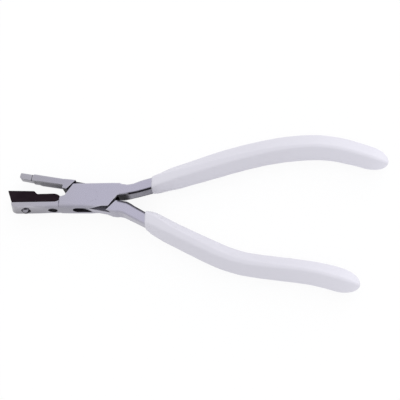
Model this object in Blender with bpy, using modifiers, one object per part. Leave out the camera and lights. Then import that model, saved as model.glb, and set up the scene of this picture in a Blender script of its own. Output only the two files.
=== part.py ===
"""Box-joint crimping pliers, lying flat with the jaws open.

Every piece is drawn in the closed pose, about the pivot and the tool's mid-plane. Two empties on
the pivot carry the two halves: the fixed half stays as drawn, and the moving half is turned back
by REST_OPENING. X runs from the pivot towards the handles, Y towards the upper handle, Z through
the thickness. World z = 0 is the flat underside of the box.
"""
import math

import bmesh
import bpy
from mathutils import Vector, geometry

MM = 0.001

# Box joint
REST_OPENING = math.radians(10.4)
BOX_HEIGHT = 10.0 * MM
BOX_THICK = 7.2 * MM
WEB_THICK = 3.2 * MM
WEB_PLAY = 0.1 * MM            # on each side of the web in its slot
SHOULDER_OUTER_X = 7.9 * MM    # slanted edge of a cheek, at the outside of the box
SHOULDER_INNER_X = 10.4 * MM   # the same edge at its inner end
SHOULDER_INNER_Y = 1.2 * MM
SHOULDER_PLAY = 0.15 * MM      # left between the shoulders of the two halves, jaws closed
CROTCH_X = 10.75 * MM          # where the edge of a cheek meets the throat, and the handles part
CROTCH_Y = 0.25 * MM
BOX_END_X = 11.2 * MM          # end of the box faces on the handle side
SLOT_END_X = 7.2 * MM          # end of the slot at the outside of the box
HUB_PLAY = 0.1 * MM            # the web's hub stands this far inside the outside of the box
RIVET_RADIUS = 2.0 * MM
RIVET_FLARE = 0.5 * MM         # depth and extra radius of the peened ends
RIVET_PLAY = 0.05 * MM

# Lower jaw and its pad
JAW_THICK = 6.2 * MM
JAW_NOSE_X = -32.4 * MM
JAW_BELLY_Y = -5.4 * MM
JAW_BELLY_END_X = -15.6 * MM   # where the belly has come up to the underside of the box
JAW_BELLY_STEP = 0.15 * MM     # still left there
JAW_NOSE_ROUND = 1.5 * MM
SEAT_Y = -2.5 * MM
HEEL_TOP_X = -12.9 * MM        # shoulder behind the pad
HEEL_TOP_Y = -0.55 * MM
HEEL_SLANT = 0.7 * MM          # its foot reaches this much further forward
PAD_THICK = 6.0 * MM
PAD_HEIGHT = 4.5 * MM
PAD_REAR_HEIGHT = 3.25 * MM
PAD_TOP_X = -34.3 * MM         # front edge of the working face, ahead of the nose
PAD_FOOT_X = -32.0 * MM
PAD_STEP_X = -23.8 * MM
PAD_STEP_RUN = 1.3 * MM
PAD_HEEL_ROUND = 1.2 * MM
PAD_PLAY = 0.1 * MM

# Pad screws
SCREW_RADIUS = 1.0 * MM
SCREW_PLAY = 0.05 * MM
SCREW_HEAD_HEIGHT = 0.9 * MM
SCREW_SLOT_WIDTH = 0.5 * MM
SCREW_SLOT_DEPTH = 0.4 * MM
SCREW_BITE = 2.2 * MM          # length of screw inside the pad
FRONT_SCREW_X = -27.0 * MM
FRONT_HEAD_RADIUS = 1.75 * MM
FRONT_BORE_RADIUS = 2.1 * MM
FRONT_BORE_DEPTH = 0.6 * MM
REAR_SCREW_X = -16.0 * MM
REAR_HEAD_RADIUS = 1.45 * MM
REAR_BORE_RADIUS = 1.75 * MM
REAR_BORE_DEPTH = 1.6 * MM

# Upper jaw
JAW_CLOSED_GAP = 0.1 * MM      # bar to pad, jaws closed
BAR_FRONT_X = -26.0 * MM
BAR_ROOT_X = -12.3 * MM
BAR_HEIGHT = 2.6 * MM
BAR_THICK = 5.2 * MM
BAR_RELIEF = 0.5 * MM          # the bar's working edge rises this much towards its root
BAR_TOP_STEP = 0.1 * MM        # from the top of the block down to the top of the bar
TIP_END_X = -31.6 * MM
TIP_HEIGHT = 2.3 * MM
TIP_THICK = 2.4 * MM
TIP_ROUND = 0.5 * MM
BLOCK_LIFT = 0.6 * MM          # underside of the block above the throat
BLOCK_DROP = 0.15 * MM         # top of the block below the outside of the box

# Handles: centre line knots in mm and degrees, as (x, y, direction, steel width, steel thickness).
# The first knot of each is at the mouth of its grip, and the last at the end of the tang.
FIXED_ROOT_X = 10.0 * MM       # start of the fixed handle, inside the box
MOVING_ROOT_X = 11.4 * MM      # start of the moving handle, inside its flush root
ROOT_THICK = 7.0 * MM
ROOT_GAP = 0.5 * MM            # between the two handle roots, jaws closed
ROOT_STEP = 0.15 * MM          # from the outside of the box down to the handle
MOVING_ROOT_END_X = 12.5 * MM  # end of the moving half's flush root
UPPER_KNOTS = (
    (24.3, 5.65, 17.5, 4.0, 5.8),
    (34.0, 8.85, 18.0, 6.7, 6.2),
    (52.0, 14.8, 17.5, 7.6, 6.2),
    (86.0, 21.35, 1.5, 7.8, 6.2),
    (112.6, 15.6, -17.0, 4.6, 5.4),
)
LOWER_KNOTS = (
    (23.7, -5.55, -15.5, 4.0, 5.8),
    (34.0, -8.6, -15.5, 5.9, 6.2),
    (52.0, -13.45, -15.0, 6.7, 6.2),
    (68.0, -15.5, 1.5, 6.5, 6.2),
    (91.0, -14.25, 0.0, 6.4, 6.2),
    (105.7, -15.2, -5.0, 5.4, 5.6),
)
TANG_ROUND = 1.0 * MM
FLAT_SHARE = 0.4               # level part of a handle section, as a share of its width
GRIP_WALL = 1.4 * MM
GRIP_PLAY = 0.15 * MM
GRIP_DOME = 4.0 * MM           # closed end of a grip, past the end of the tang

EDGE_ROUND = 0.35 * MM
EDGE_STEPS = 2
EDGE_ANGLE = math.radians(25.0)    # an edge sharper than this is rounded
SHADE_ANGLE = math.radians(35.0)   # and one sharper than this is shaded as a corner
FLAT_ANGLE = math.radians(0.1)     # faces this close to level are one face
WELD = 0.001 * MM
ROUND_STEPS = 40
HUB_STEPS = 6
ARC_STEPS = 4
STATIONS_PER_KNOT = 6
CORNER_STEPS = 3
DOME_ANGLES = (25.0, 50.0, 70.0, 83.0)
OVERSHOOT = 2.0 * MM           # how far a cutter runs past what it cuts
SINK = 0.6 * MM                # how far one slab of a forging runs into the next

HALF_BOX = BOX_HEIGHT / 2
PAD_TOP_Y = SEAT_Y + PAD_HEIGHT


def clear_scene():
    """Start from an empty file."""
    for obj in list(bpy.data.objects):
        bpy.data.objects.remove(obj, do_unlink=True)


def new_collection(name):
    """A collection linked to the scene."""
    collection = bpy.data.collections.new(name)
    bpy.context.scene.collection.children.link(collection)
    return collection


def new_material(name, color, roughness, metallic):
    """A plain Principled BSDF finish."""
    material = bpy.data.materials.new(name)
    material.use_nodes = True
    shader = material.node_tree.nodes["Principled BSDF"]
    shader.inputs["Base Color"].default_value = (*color, 1.0)
    shader.inputs["Roughness"].default_value = roughness
    shader.inputs["Metallic"].default_value = metallic
    return material


def new_pivot(name, turn):
    """An empty on the pivot axis, in the mid-plane of the tool."""
    pivot = bpy.data.objects.new(name, None)
    pivot.location = (0.0, 0.0, BOX_THICK / 2)
    pivot.rotation_euler = (0.0, 0.0, turn)
    PARTS.objects.link(pivot)
    return pivot


def new_piece(name, mesh, pivot, material):
    """A finished sub-part, carried by the empty of its half."""
    obj = bpy.data.objects.new(name, mesh)
    mesh.materials.append(material)
    obj.parent = pivot
    PARTS.objects.link(obj)
    return obj


def new_tool(name, mesh, pivot):
    """A shape that is only joined to, or cut out of, a sub-part."""
    obj = bpy.data.objects.new(name, mesh)
    obj.parent = pivot
    obj.hide_render = True
    obj.display_type = "WIRE"
    TOOLS.objects.link(obj)
    return obj


def combine(target, tool, operation):
    """Join the tool to the target, or cut it out."""
    modifier = target.modifiers.new(tool.name, "BOOLEAN")
    modifier.operation = operation
    modifier.object = tool
    modifier.solver = "EXACT"


def round_edges(obj, width):
    """Round every real edge of a flat piece."""
    bevel = obj.modifiers.new("edges", "BEVEL")
    bevel.width = width
    bevel.segments = EDGE_STEPS
    bevel.limit_method = "ANGLE"
    bevel.angle_limit = EDGE_ANGLE


def shade(obj):
    """Smooth shading with sharp edges kept."""
    obj.data.shade_smooth()
    obj.data.set_sharp_from_angle(angle=SHADE_ANGLE)


def arc(center, radius, start, end, steps):
    """Points on an arc from start to end, in degrees."""
    angles = [math.radians(start + (end - start) * k / steps) for k in range(steps + 1)]
    return [(center[0] + radius * math.cos(a), center[1] + radius * math.sin(a)) for a in angles]


def opposite(points):
    """The points turned half a turn about the pivot."""
    return [(-x, -y) for x, y in points]


def plate(name, outline, thick):
    """A flat outline in the mid-plane, extruded to its thickness, as a mesh."""
    curve = bpy.data.curves.new(name, "CURVE")
    curve.dimensions = "2D"
    curve.fill_mode = "BOTH"
    curve.extrude = thick / 2
    spline = curve.splines.new("POLY")
    spline.points.add(len(outline) - 1)
    for point, (x, y) in zip(spline.points, outline):
        point.co = (x, y, 0.0, 1.0)
    spline.use_cyclic_u = True
    source = bpy.data.objects.new(name, curve)
    TOOLS.objects.link(source)
    graph = bpy.context.evaluated_depsgraph_get()
    mesh = bpy.data.meshes.new_from_object(source.evaluated_get(graph))
    bpy.data.objects.remove(source)
    body = bmesh.new()
    body.from_mesh(mesh)
    bmesh.ops.remove_doubles(body, verts=body.verts, dist=WELD)
    bmesh.ops.dissolve_limit(body, angle_limit=FLAT_ANGLE, verts=body.verts, edges=body.edges)
    bmesh.ops.recalc_face_normals(body, faces=body.faces)
    body.to_mesh(mesh)
    body.free()
    mesh.name = name
    return mesh


def loft(name, rings):
    """A closed skin through rings of equally many points, capped at both ends."""
    body = bmesh.new()
    verts = [[body.verts.new(point) for point in ring] for ring in rings]
    count = len(rings[0])
    for ring, after in zip(verts, verts[1:]):
        for k in range(count):
            following = (k + 1) % count
            body.faces.new((ring[k], ring[following], after[following], after[k]))
    body.faces.new(verts[0])
    body.faces.new(verts[-1])
    bmesh.ops.recalc_face_normals(body, faces=body.faces)
    mesh = bpy.data.meshes.new(name)
    body.to_mesh(mesh)
    body.free()
    return mesh


def turned(name, profile):
    """A solid turned about Z from (radius, height) points, first and last on the axis."""
    mesh = bpy.data.meshes.new(name)
    edges = [(k, k + 1) for k in range(len(profile) - 1)]
    mesh.from_pydata([(radius, 0.0, height) for radius, height in profile], edges, [])
    source = bpy.data.objects.new(name, mesh)
    TOOLS.objects.link(source)
    screw = source.modifiers.new("turn", "SCREW")
    screw.steps = ROUND_STEPS
    screw.render_steps = ROUND_STEPS
    screw.use_merge_vertices = True
    screw.merge_threshold = WELD
    graph = bpy.context.evaluated_depsgraph_get()
    solid = bpy.data.meshes.new_from_object(source.evaluated_get(graph))
    bpy.data.objects.remove(source)
    body = bmesh.new()
    body.from_mesh(solid)
    bmesh.ops.recalc_face_normals(body, faces=body.faces)
    body.to_mesh(solid)
    body.free()
    return solid


def point_up(obj, x, y):
    """Stand a turned shape up along +Y, on the jaw's mid-plane."""
    obj.location = (x, y, 0.0)
    obj.rotation_euler = (math.radians(-90.0), 0.0, 0.0)


def section(width, thick, flat, radius):
    """A hexagon with level top and bottom, its corners rounded, as (across, up) points."""
    half_w, half_t, half_f = width / 2 - radius, thick / 2 - radius, flat / 2
    corners = [Vector(c) for c in ((half_w, 0), (half_f, half_t), (-half_f, half_t),
                                   (-half_w, 0), (-half_f, -half_t), (half_f, -half_t))]
    points = []
    for k, corner in enumerate(corners):
        arriving = corner - corners[k - 1]
        leaving = corners[(k + 1) % len(corners)] - corner
        start = math.atan2(-arriving.x, arriving.y)
        turn = (math.atan2(-leaving.x, leaving.y) - start) % math.tau
        for step in range(CORNER_STEPS):
            angle = start + turn * step / (CORNER_STEPS - 1)
            points.append(corner + radius * Vector((math.cos(angle), math.sin(angle))))
    return points


def handle_stations(knots):
    """Stations on the smooth centre line: (point, direction, steel width, steel thickness)."""
    points, widths, thicks = [], [], []
    for (x0, y0, a0, w0, t0), (x1, y1, a1, w1, t1) in zip(knots, knots[1:]):
        start, end = Vector((x0, y0, 0.0)), Vector((x1, y1, 0.0))
        pull = (end - start).length / 3
        leave = start + pull * Vector((math.cos(math.radians(a0)), math.sin(math.radians(a0)), 0.0))
        arrive = end - pull * Vector((math.cos(math.radians(a1)), math.sin(math.radians(a1)), 0.0))
        run = geometry.interpolate_bezier(start, leave, arrive, end, STATIONS_PER_KNOT + 1)
        for step in range(STATIONS_PER_KNOT):
            share = step / STATIONS_PER_KNOT
            ease = share * share * (3 - 2 * share)
            points.append(run[step])
            widths.append(w0 + (w1 - w0) * ease)
            thicks.append(t0 + (t1 - t0) * ease)
    points.append(end)
    widths.append(w1)
    thicks.append(t1)
    last = len(points) - 1
    runs = [(points[min(k + 1, last)] - points[max(k - 1, 0)]).normalized() for k in range(last + 1)]
    return [(p * MM, d, w * MM, t * MM) for p, d, w, t in zip(points, runs, widths, thicks)]


def ring_at(point, direction, width, thick, growth, shrink=1.0):
    """A handle section square to the direction, grown outwards evenly, then shrunk."""
    across = Vector((-direction.y, direction.x, 0.0))
    outline = section(width + 2 * growth, thick + 2 * growth, FLAT_SHARE * width, TANG_ROUND + growth)
    return [point + shrink * (a * across + Vector((0.0, 0.0, u))) for a, u in outline]


def mouth_ring(station, growth):
    """The handle section where the grip's level rim, square to X, crosses the handle."""
    point, direction, width, thick = station
    outline = section(width + 2 * growth, thick + 2 * growth, FLAT_SHARE * width, TANG_ROUND + growth)
    return [point + Vector((0.0, a / direction.x, u)) for a, u in outline]


def root_knot(x, side):
    """Where a handle starts: between the gap that parts the handles and the outside of the box."""
    width = HALF_BOX - ROOT_STEP - ROOT_GAP / 2
    middle = ROOT_GAP / 2 + width / 2
    return (x / MM, side * middle / MM, 0.0, width / MM, ROOT_THICK / MM)


def tang_mesh(name, start, knots):
    """The steel handle, from its root to its end inside the grip."""
    return loft(name, [ring_at(*station, 0.0) for station in handle_stations((start, *knots))])


def grip_mesh(name, knots):
    """The dipped grip: up the inside from the end of the tang, over the rim, and down the outside."""
    stations = handle_stations(knots)
    point, direction, width, thick = stations[-1]
    bottom = (point + GRIP_PLAY * direction, direction, width, thick)
    rings = [ring_at(*station, GRIP_PLAY) for station in (bottom, *reversed(stations[1:-1]))]
    rings.append(mouth_ring(stations[0], GRIP_PLAY))
    rings.append(mouth_ring(stations[0], GRIP_WALL))
    rings += [ring_at(*station, GRIP_WALL) for station in stations[1:]]
    for angle in DOME_ANGLES:
        reach = GRIP_DOME * math.sin(math.radians(angle))
        rings.append(ring_at(point + reach * direction, direction, width, thick, GRIP_WALL,
                             math.cos(math.radians(angle))))
    return loft(name, rings)


def cheek_edge(play):
    """The slanted edge of the upper left cheek, moved outwards by the play, from top to throat."""
    top = Vector((-SHOULDER_OUTER_X, HALF_BOX))
    foot = Vector((-SHOULDER_INNER_X, SHOULDER_INNER_Y))
    along = (foot - top).normalized()
    shift = play * Vector((along.y, -along.x))
    return top + shift, foot + shift


def cheek_edge_at(y, play):
    """The point of that edge, or of its extension, at a given height."""
    top, foot = cheek_edge(play)
    share = (top.y - y) / (top.y - foot.y)
    return (top.x + share * (foot.x - top.x), y)


def box_outline():
    """Side view of the box, with the shoulder behind the pad at its lower left."""
    heel_foot = (HEEL_TOP_X - HEEL_SLANT, SEAT_Y)
    left = [(-SHOULDER_OUTER_X, HALF_BOX), (-SHOULDER_INNER_X, SHOULDER_INNER_Y), (-CROTCH_X, CROTCH_Y),
            (HEEL_TOP_X, HEEL_TOP_Y), heel_foot, (heel_foot[0], -HALF_BOX)]
    right = [(SHOULDER_OUTER_X, -HALF_BOX), (SHOULDER_INNER_X, -SHOULDER_INNER_Y), (CROTCH_X, -CROTCH_Y),
             (BOX_END_X, ROOT_GAP / 2), (BOX_END_X, HALF_BOX)]
    return left + right


def slot_outline():
    """Side view of the slot: open at both sides of the box, closed at the jaw and at the handle."""
    wall = Vector((SLOT_END_X - CROTCH_X, HALF_BOX + CROTCH_Y)).normalized()
    past = OVERSHOOT * wall
    jaw_side = [(-SLOT_END_X - past.x, -HALF_BOX - past.y), (-CROTCH_X, CROTCH_Y),
                (-CROTCH_X - OVERSHOOT, HALF_BOX), (-CROTCH_X, HALF_BOX + OVERSHOOT)]
    return jaw_side + opposite(jaw_side)


def web_outline():
    """Side view of the web: a round hub, with an arm to the upper jaw and one to the lower handle."""
    hub = HALF_BOX - HUB_PLAY
    corner = cheek_edge_at(CROTCH_Y + BLOCK_LIFT, SHOULDER_PLAY)
    reach = math.hypot(*corner)
    bearing = math.degrees(math.atan2(corner[1], corner[0]))
    touch = bearing + math.degrees(math.acos(hub / reach))
    end_x = corner[0] - SINK
    arm = arc((0.0, 0.0), hub, 270.0, touch, HUB_STEPS)
    arm += [corner, (end_x, corner[1]), (end_x, hub - BLOCK_DROP)]
    return arm + opposite(arm)


def block_outline():
    """Side view of the thick block that carries the bar of the upper jaw."""
    top, low = HALF_BOX - BLOCK_DROP, CROTCH_Y + BLOCK_LIFT
    return [cheek_edge_at(top, SHOULDER_PLAY), cheek_edge_at(low, SHOULDER_PLAY),
            (BAR_ROOT_X, low), (BAR_ROOT_X, top)]


def bar_outline():
    """Side view of the bar, its working edge rising from the front towards the block."""
    low = PAD_TOP_Y + JAW_CLOSED_GAP
    root = BAR_ROOT_X + SINK
    return [(BAR_FRONT_X, low), (root, low + BAR_RELIEF), (root, HALF_BOX - BLOCK_DROP - BAR_TOP_STEP),
            (BAR_FRONT_X, low + BAR_HEIGHT)]


def tip_outline():
    """Side view of the narrow tip, level with the top of the bar."""
    top = PAD_TOP_Y + JAW_CLOSED_GAP + BAR_HEIGHT
    low = top - TIP_HEIGHT
    nose = arc((TIP_END_X + TIP_ROUND, top - TIP_ROUND), TIP_ROUND, 90.0, 180.0, ARC_STEPS)
    chin = arc((TIP_END_X + TIP_ROUND, low + TIP_ROUND), TIP_ROUND, 180.0, 270.0, ARC_STEPS)
    root = BAR_FRONT_X + SINK
    return nose + chin + [(root, low), (root, top - BAR_TOP_STEP)]


def root_outline():
    """Side view of the flush root of the moving handle, beside the lower right cheek."""
    outer, inner = opposite([tuple(v) for v in cheek_edge(SHOULDER_PLAY)])
    return [outer, inner, (CROTCH_X + SHOULDER_PLAY, -ROOT_GAP / 2), (MOVING_ROOT_END_X, -ROOT_GAP / 2),
            (MOVING_ROOT_END_X, -HALF_BOX)]


def jaw_outline():
    """Side view of the lower jaw under its pad, with a rounded nose."""
    buried = HEEL_TOP_X - HEEL_SLANT + SINK
    nose = arc((JAW_NOSE_X + JAW_NOSE_ROUND, JAW_BELLY_Y + JAW_NOSE_ROUND), JAW_NOSE_ROUND, 180.0, 270.0,
               ARC_STEPS)
    return [(buried, SEAT_Y), (JAW_NOSE_X, SEAT_Y)] + nose + [
        (JAW_BELLY_END_X, -HALF_BOX - JAW_BELLY_STEP), (buried, -HALF_BOX + JAW_BELLY_STEP)]


def pad_outline():
    """Side view of the pad: a tall front, a sloping step, a low rear and a rounded heel."""
    low, rear = SEAT_Y + PAD_PLAY, SEAT_Y + PAD_REAR_HEIGHT
    slant = HEEL_SLANT / (HEEL_TOP_Y - SEAT_Y)
    heel_x = HEEL_TOP_X - PAD_PLAY - slant * (HEEL_TOP_Y - rear + PAD_HEEL_ROUND)
    heel = arc((heel_x - PAD_HEEL_ROUND, rear - PAD_HEEL_ROUND), PAD_HEEL_ROUND, 90.0, 0.0, ARC_STEPS)
    return [(PAD_FOOT_X, low), (PAD_TOP_X, PAD_TOP_Y), (PAD_STEP_X, PAD_TOP_Y),
            (PAD_STEP_X + PAD_STEP_RUN, rear)] + heel + [(HEEL_TOP_X - HEEL_SLANT - PAD_PLAY, low)]


def rivet_profile(play, past):
    """The rivet, or with some play its hole, as half a section whose cones run on past the box."""
    end, shank = BOX_THICK / 2 + past, RIVET_RADIUS + play
    flared = [(shank + RIVET_FLARE + past, end), (shank, BOX_THICK / 2 - RIVET_FLARE)]
    return [(0.0, end)] + flared + [(r, -h) for r, h in reversed(flared)] + [(0.0, -end)]


def make_pad_screw(name, x, head_radius, bore_radius, bore_depth):
    """One screw, and the stepped drill for its hole through the jaw into the pad."""
    under_head = JAW_BELLY_Y + bore_depth - PAD_PLAY
    end = SEAT_Y + PAD_PLAY + SCREW_BITE - under_head
    profile = [(0.0, end), (SCREW_RADIUS, end), (SCREW_RADIUS, 0.0), (head_radius, 0.0),
               (head_radius, -SCREW_HEAD_HEIGHT), (0.0, -SCREW_HEAD_HEIGHT)]
    screw = new_piece(name, turned(name, profile), FIXED, STEEL)
    point_up(screw, x, under_head)
    shade(screw)

    bpy.ops.mesh.primitive_cube_add(size=1.0)
    cube = bpy.context.object
    slot = new_tool(name + "_driver_slot", cube.data, FIXED)
    bpy.data.objects.remove(cube)
    slot.scale = (2 * head_radius + OVERSHOOT, 2 * SCREW_SLOT_DEPTH, SCREW_SLOT_WIDTH)
    slot.location = (x, under_head - SCREW_HEAD_HEIGHT, 0.0)
    combine(screw, slot, "DIFFERENCE")

    hole = SCREW_RADIUS + SCREW_PLAY
    mouth = -bore_depth - OVERSHOOT
    steps = [(0.0, end + PAD_PLAY), (hole, end + PAD_PLAY), (hole, PAD_PLAY), (bore_radius, PAD_PLAY),
             (bore_radius, mouth), (0.0, mouth)]
    drill = new_tool(name + "_drill", turned(name, steps), FIXED)
    point_up(drill, x, under_head)
    return drill


def make_fixed_half():
    """Lower jaw, box and upper handle in one forging."""
    half = new_piece("fixed_half", plate("box", box_outline(), BOX_THICK), FIXED, STEEL)
    round_edges(half, EDGE_ROUND)
    jaw = new_tool("jaw", plate("jaw", jaw_outline(), JAW_THICK), FIXED)
    round_edges(jaw, EDGE_ROUND)
    combine(half, jaw, "UNION")
    tang = tang_mesh("upper_tang", root_knot(FIXED_ROOT_X, 1), UPPER_KNOTS)
    combine(half, new_tool("upper_tang", tang, FIXED), "UNION")
    slot = plate("slot", slot_outline(), WEB_THICK + 2 * WEB_PLAY)
    combine(half, new_tool("slot", slot, FIXED), "DIFFERENCE")
    hole = turned("rivet_hole", rivet_profile(RIVET_PLAY, OVERSHOOT))
    combine(half, new_tool("rivet_hole", hole, FIXED), "DIFFERENCE")
    return half


def make_moving_half():
    """Upper jaw, web and lower handle in one forging."""
    half = new_piece("moving_half", plate("web", web_outline(), WEB_THICK), MOVING, STEEL)
    for name, outline, thick in (("block", block_outline(), BOX_THICK), ("bar", bar_outline(), BAR_THICK),
                                 ("tip", tip_outline(), TIP_THICK), ("root", root_outline(), BOX_THICK)):
        tool = new_tool(name, plate(name, outline, thick), MOVING)
        round_edges(tool, EDGE_ROUND)
        combine(half, tool, "UNION")
    tang = tang_mesh("lower_tang", root_knot(MOVING_ROOT_X, -1), LOWER_KNOTS)
    combine(half, new_tool("lower_tang", tang, MOVING), "UNION")
    bore = turned("web_bore", rivet_profile(RIVET_PLAY, OVERSHOOT))
    combine(half, new_tool("web_bore", bore, MOVING), "DIFFERENCE")


def make_pad_and_screws(fixed_half):
    """The stepped pad and its two screws, driven up through the lower jaw."""
    pad = new_piece("jaw_pad", plate("jaw_pad", pad_outline(), PAD_THICK), FIXED, PAD)
    round_edges(pad, EDGE_ROUND)
    for name, x, head, bore, depth in (
            ("front_pad_screw", FRONT_SCREW_X, FRONT_HEAD_RADIUS, FRONT_BORE_RADIUS, FRONT_BORE_DEPTH),
            ("rear_pad_screw", REAR_SCREW_X, REAR_HEAD_RADIUS, REAR_BORE_RADIUS, REAR_BORE_DEPTH)):
        drill = make_pad_screw(name, x, head, bore, depth)
        combine(pad, drill, "DIFFERENCE")
        combine(fixed_half, drill, "DIFFERENCE")


def make_rivet():
    """The pivot rivet, peened into both cheeks and ground flush."""
    rivet = turned("pivot_rivet", rivet_profile(0.0, 0.0))
    shade(new_piece("pivot_rivet", rivet, FIXED, STEEL))


def make_grips():
    """A dipped grip on each handle."""
    shade(new_piece("upper_grip", grip_mesh("upper_grip", UPPER_KNOTS), FIXED, GRIP))
    shade(new_piece("lower_grip", grip_mesh("lower_grip", LOWER_KNOTS), MOVING, GRIP))


clear_scene()
PARTS = new_collection("crimping_pliers")
TOOLS = new_collection("tools")
STEEL = new_material("polished_steel", (0.58, 0.57, 0.61), 0.22, 1.0)
GRIP = new_material("white_grip", (0.80, 0.79, 0.84), 0.45, 0.0)
PAD = new_material("dark_pad", (0.022, 0.014, 0.018), 0.5, 0.0)
FIXED = new_pivot("fixed_pivot", 0.0)
MOVING = new_pivot("moving_pivot", -REST_OPENING)
make_pad_and_screws(make_fixed_half())
make_moving_half()
make_rivet()
make_grips()
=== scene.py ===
# %% [markdown]
# # Crimping pliers, dressed for the camera
#
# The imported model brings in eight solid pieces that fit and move. Here each of them gets the surface
# that the eye sees: satin steel with rolled edges, a dark pad, and thick white dipped grips. The packed
# solids stay where they are, and each new piece takes the place of one of them and moves with its body.

import bpy
import numpy as np
from mathutils import Matrix, Vector


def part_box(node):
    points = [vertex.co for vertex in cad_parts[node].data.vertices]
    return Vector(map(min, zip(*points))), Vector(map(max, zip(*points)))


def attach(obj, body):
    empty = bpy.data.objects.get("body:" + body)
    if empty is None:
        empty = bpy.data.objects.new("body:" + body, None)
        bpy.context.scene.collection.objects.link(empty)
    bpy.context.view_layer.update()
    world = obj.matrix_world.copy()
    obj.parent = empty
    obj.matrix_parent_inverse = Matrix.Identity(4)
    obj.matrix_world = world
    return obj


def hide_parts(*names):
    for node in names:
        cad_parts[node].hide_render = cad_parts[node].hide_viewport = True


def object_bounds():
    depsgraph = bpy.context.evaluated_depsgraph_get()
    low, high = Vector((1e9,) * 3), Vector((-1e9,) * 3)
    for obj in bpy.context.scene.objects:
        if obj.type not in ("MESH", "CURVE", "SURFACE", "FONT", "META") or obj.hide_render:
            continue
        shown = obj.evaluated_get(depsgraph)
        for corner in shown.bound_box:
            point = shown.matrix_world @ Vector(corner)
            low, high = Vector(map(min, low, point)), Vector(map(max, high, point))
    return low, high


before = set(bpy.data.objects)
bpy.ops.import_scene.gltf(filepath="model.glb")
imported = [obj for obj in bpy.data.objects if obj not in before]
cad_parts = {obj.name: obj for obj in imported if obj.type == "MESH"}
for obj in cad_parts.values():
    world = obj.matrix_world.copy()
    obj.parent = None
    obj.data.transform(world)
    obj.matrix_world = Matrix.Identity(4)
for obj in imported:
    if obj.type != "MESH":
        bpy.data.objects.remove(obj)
cad_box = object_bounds()

# %% [markdown]
# ## Where the photograph was taken from
#
# The tool lies flat, and the camera stands steeply above it, a little to the right and on the side of the
# lower handle. A camera can be aimed with a constraint, but three axes are surer: one to the camera, one
# along the picture's width and one up the picture. The lens follows from the size of the tool in the frame.

# %% Camera
MM = 0.001
rivet_low, rivet_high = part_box("pivot_rivet")
BOX_HALF = (rivet_high.z - rivet_low.z) / 2 / MM       # half the thickness of the box, which the rivet spans
AIM = Vector((42.88, -0.78, BOX_HALF))                 # mm, the middle of the picture
TO_CAMERA = Vector((0.12, -0.345, 0.931)).normalized()
CAMERA_DISTANCE = 450.0                                # mm
LENS, SENSOR = 102.8, 36.0                             # mm
NEAREST = 0.01                                         # m, anything closer to the camera isn't drawn

picture_right = (Vector((1, 0, 0)) - TO_CAMERA.x * TO_CAMERA).normalized()
picture_up = TO_CAMERA.cross(picture_right)
camera = bpy.data.objects.new("camera", bpy.data.cameras.new("camera"))
turn = Matrix((picture_right, picture_up, TO_CAMERA)).transposed().to_4x4()
camera.matrix_world = Matrix.Translation((AIM + CAMERA_DISTANCE * TO_CAMERA) * MM) @ turn
camera.data.lens = LENS
camera.data.sensor_width = SENSOR
camera.data.clip_start = NEAREST
bpy.context.scene.collection.objects.link(camera)
bpy.context.scene.camera = camera
print("camera at", [round(v, 3) for v in camera.location])

# %% [markdown]
# ## The studio
#
# A catalogue picture of a steel tool needs little: a white table and a broad sky of soft light. Both are
# node trees, and so are the finishes. Nodes can be set one by one, but the same lines would come back all
# through the file, so a link, a sum and a smooth step have a helper each.

# %% Node helpers
scene = bpy.context.scene
scene.view_settings.view_transform = "Standard"


def link(tree, source, target):
    """Join two sockets; a bare number or colour is set on the target instead."""
    if isinstance(source, bpy.types.NodeSocket):
        tree.links.new(source, target)
    else:
        target.default_value = source


def sum_up(tree, operation, *values, clamp=False):
    """A Math node on sockets or numbers."""
    node = tree.nodes.new("ShaderNodeMath")
    node.operation = operation
    node.use_clamp = clamp
    for value, socket in zip(values, node.inputs):
        link(tree, value, socket)
    return node.outputs[0]


def spread(tree, value, low, high, to_low=0.0, to_high=1.0):
    """A smooth step from to_low to to_high, as the value goes from low to high."""
    node = tree.nodes.new("ShaderNodeMapRange")
    node.interpolation_type = "SMOOTHSTEP"
    for name, number in (("From Min", low), ("From Max", high), ("To Min", to_low), ("To Max", to_high)):
        node.inputs[name].default_value = number
    tree.links.new(value, node.inputs["Value"])
    return node.outputs["Result"]


print("view transform", scene.view_settings.view_transform)

# %% [markdown]
# The table is white paint. More light would whiten it, but would bleach the tool as well. So a share of
# what the camera sees of the table, or of what the steel reflects, is plain white, as on a lit table. The
# ground of the picture is then white, and the shadow on it faint.

# %% Table
FLOOR_SIZE = 12.0        # m
FLOOR_COLOR = (0.97, 0.97, 0.975, 1.0)
FLOOR_GLOW = 0.90        # share of plain white in what is seen of the table

floor_mesh = bpy.data.meshes.new("table")
corners = np.array([(-1, -1), (1, -1), (1, 1), (-1, 1)]) * FLOOR_SIZE / 2
floor_mesh.from_pydata([(x, y, cad_box[0].z) for x, y in corners], [], [(0, 1, 2, 3)])
floor = bpy.data.objects.new("table", floor_mesh)
scene.collection.objects.link(floor)
table_paint = bpy.data.materials.new("table_paint")
table_paint.use_nodes = True
floor_mesh.materials.append(table_paint)
paint = table_paint.node_tree
shader = paint.nodes["Principled BSDF"]
shader.inputs["Base Color"].default_value = FLOOR_COLOR
shader.inputs["Roughness"].default_value = 1.0
shader.inputs["Specular IOR Level"].default_value = 0.0
light_path = paint.nodes.new("ShaderNodeLightPath")
seen = light_path.outputs["Is Camera Ray"]
for ray in ("Is Glossy Ray", "Is Transmission Ray"):
    seen = sum_up(paint, "MAXIMUM", seen, light_path.outputs[ray])
glow = paint.nodes.new("ShaderNodeMixShader")
paint.links.new(sum_up(paint, "MULTIPLY", seen, FLOOR_GLOW), glow.inputs[0])
paint.links.new(shader.outputs[0], glow.inputs[1])
paint.links.new(paint.nodes.new("ShaderNodeEmission").outputs[0], glow.inputs[2])
paint.links.new(glow.outputs[0], paint.nodes["Material Output"].inputs["Surface"])
print("table at z =", round(cad_box[0].z / MM, 2), "mm")

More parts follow.
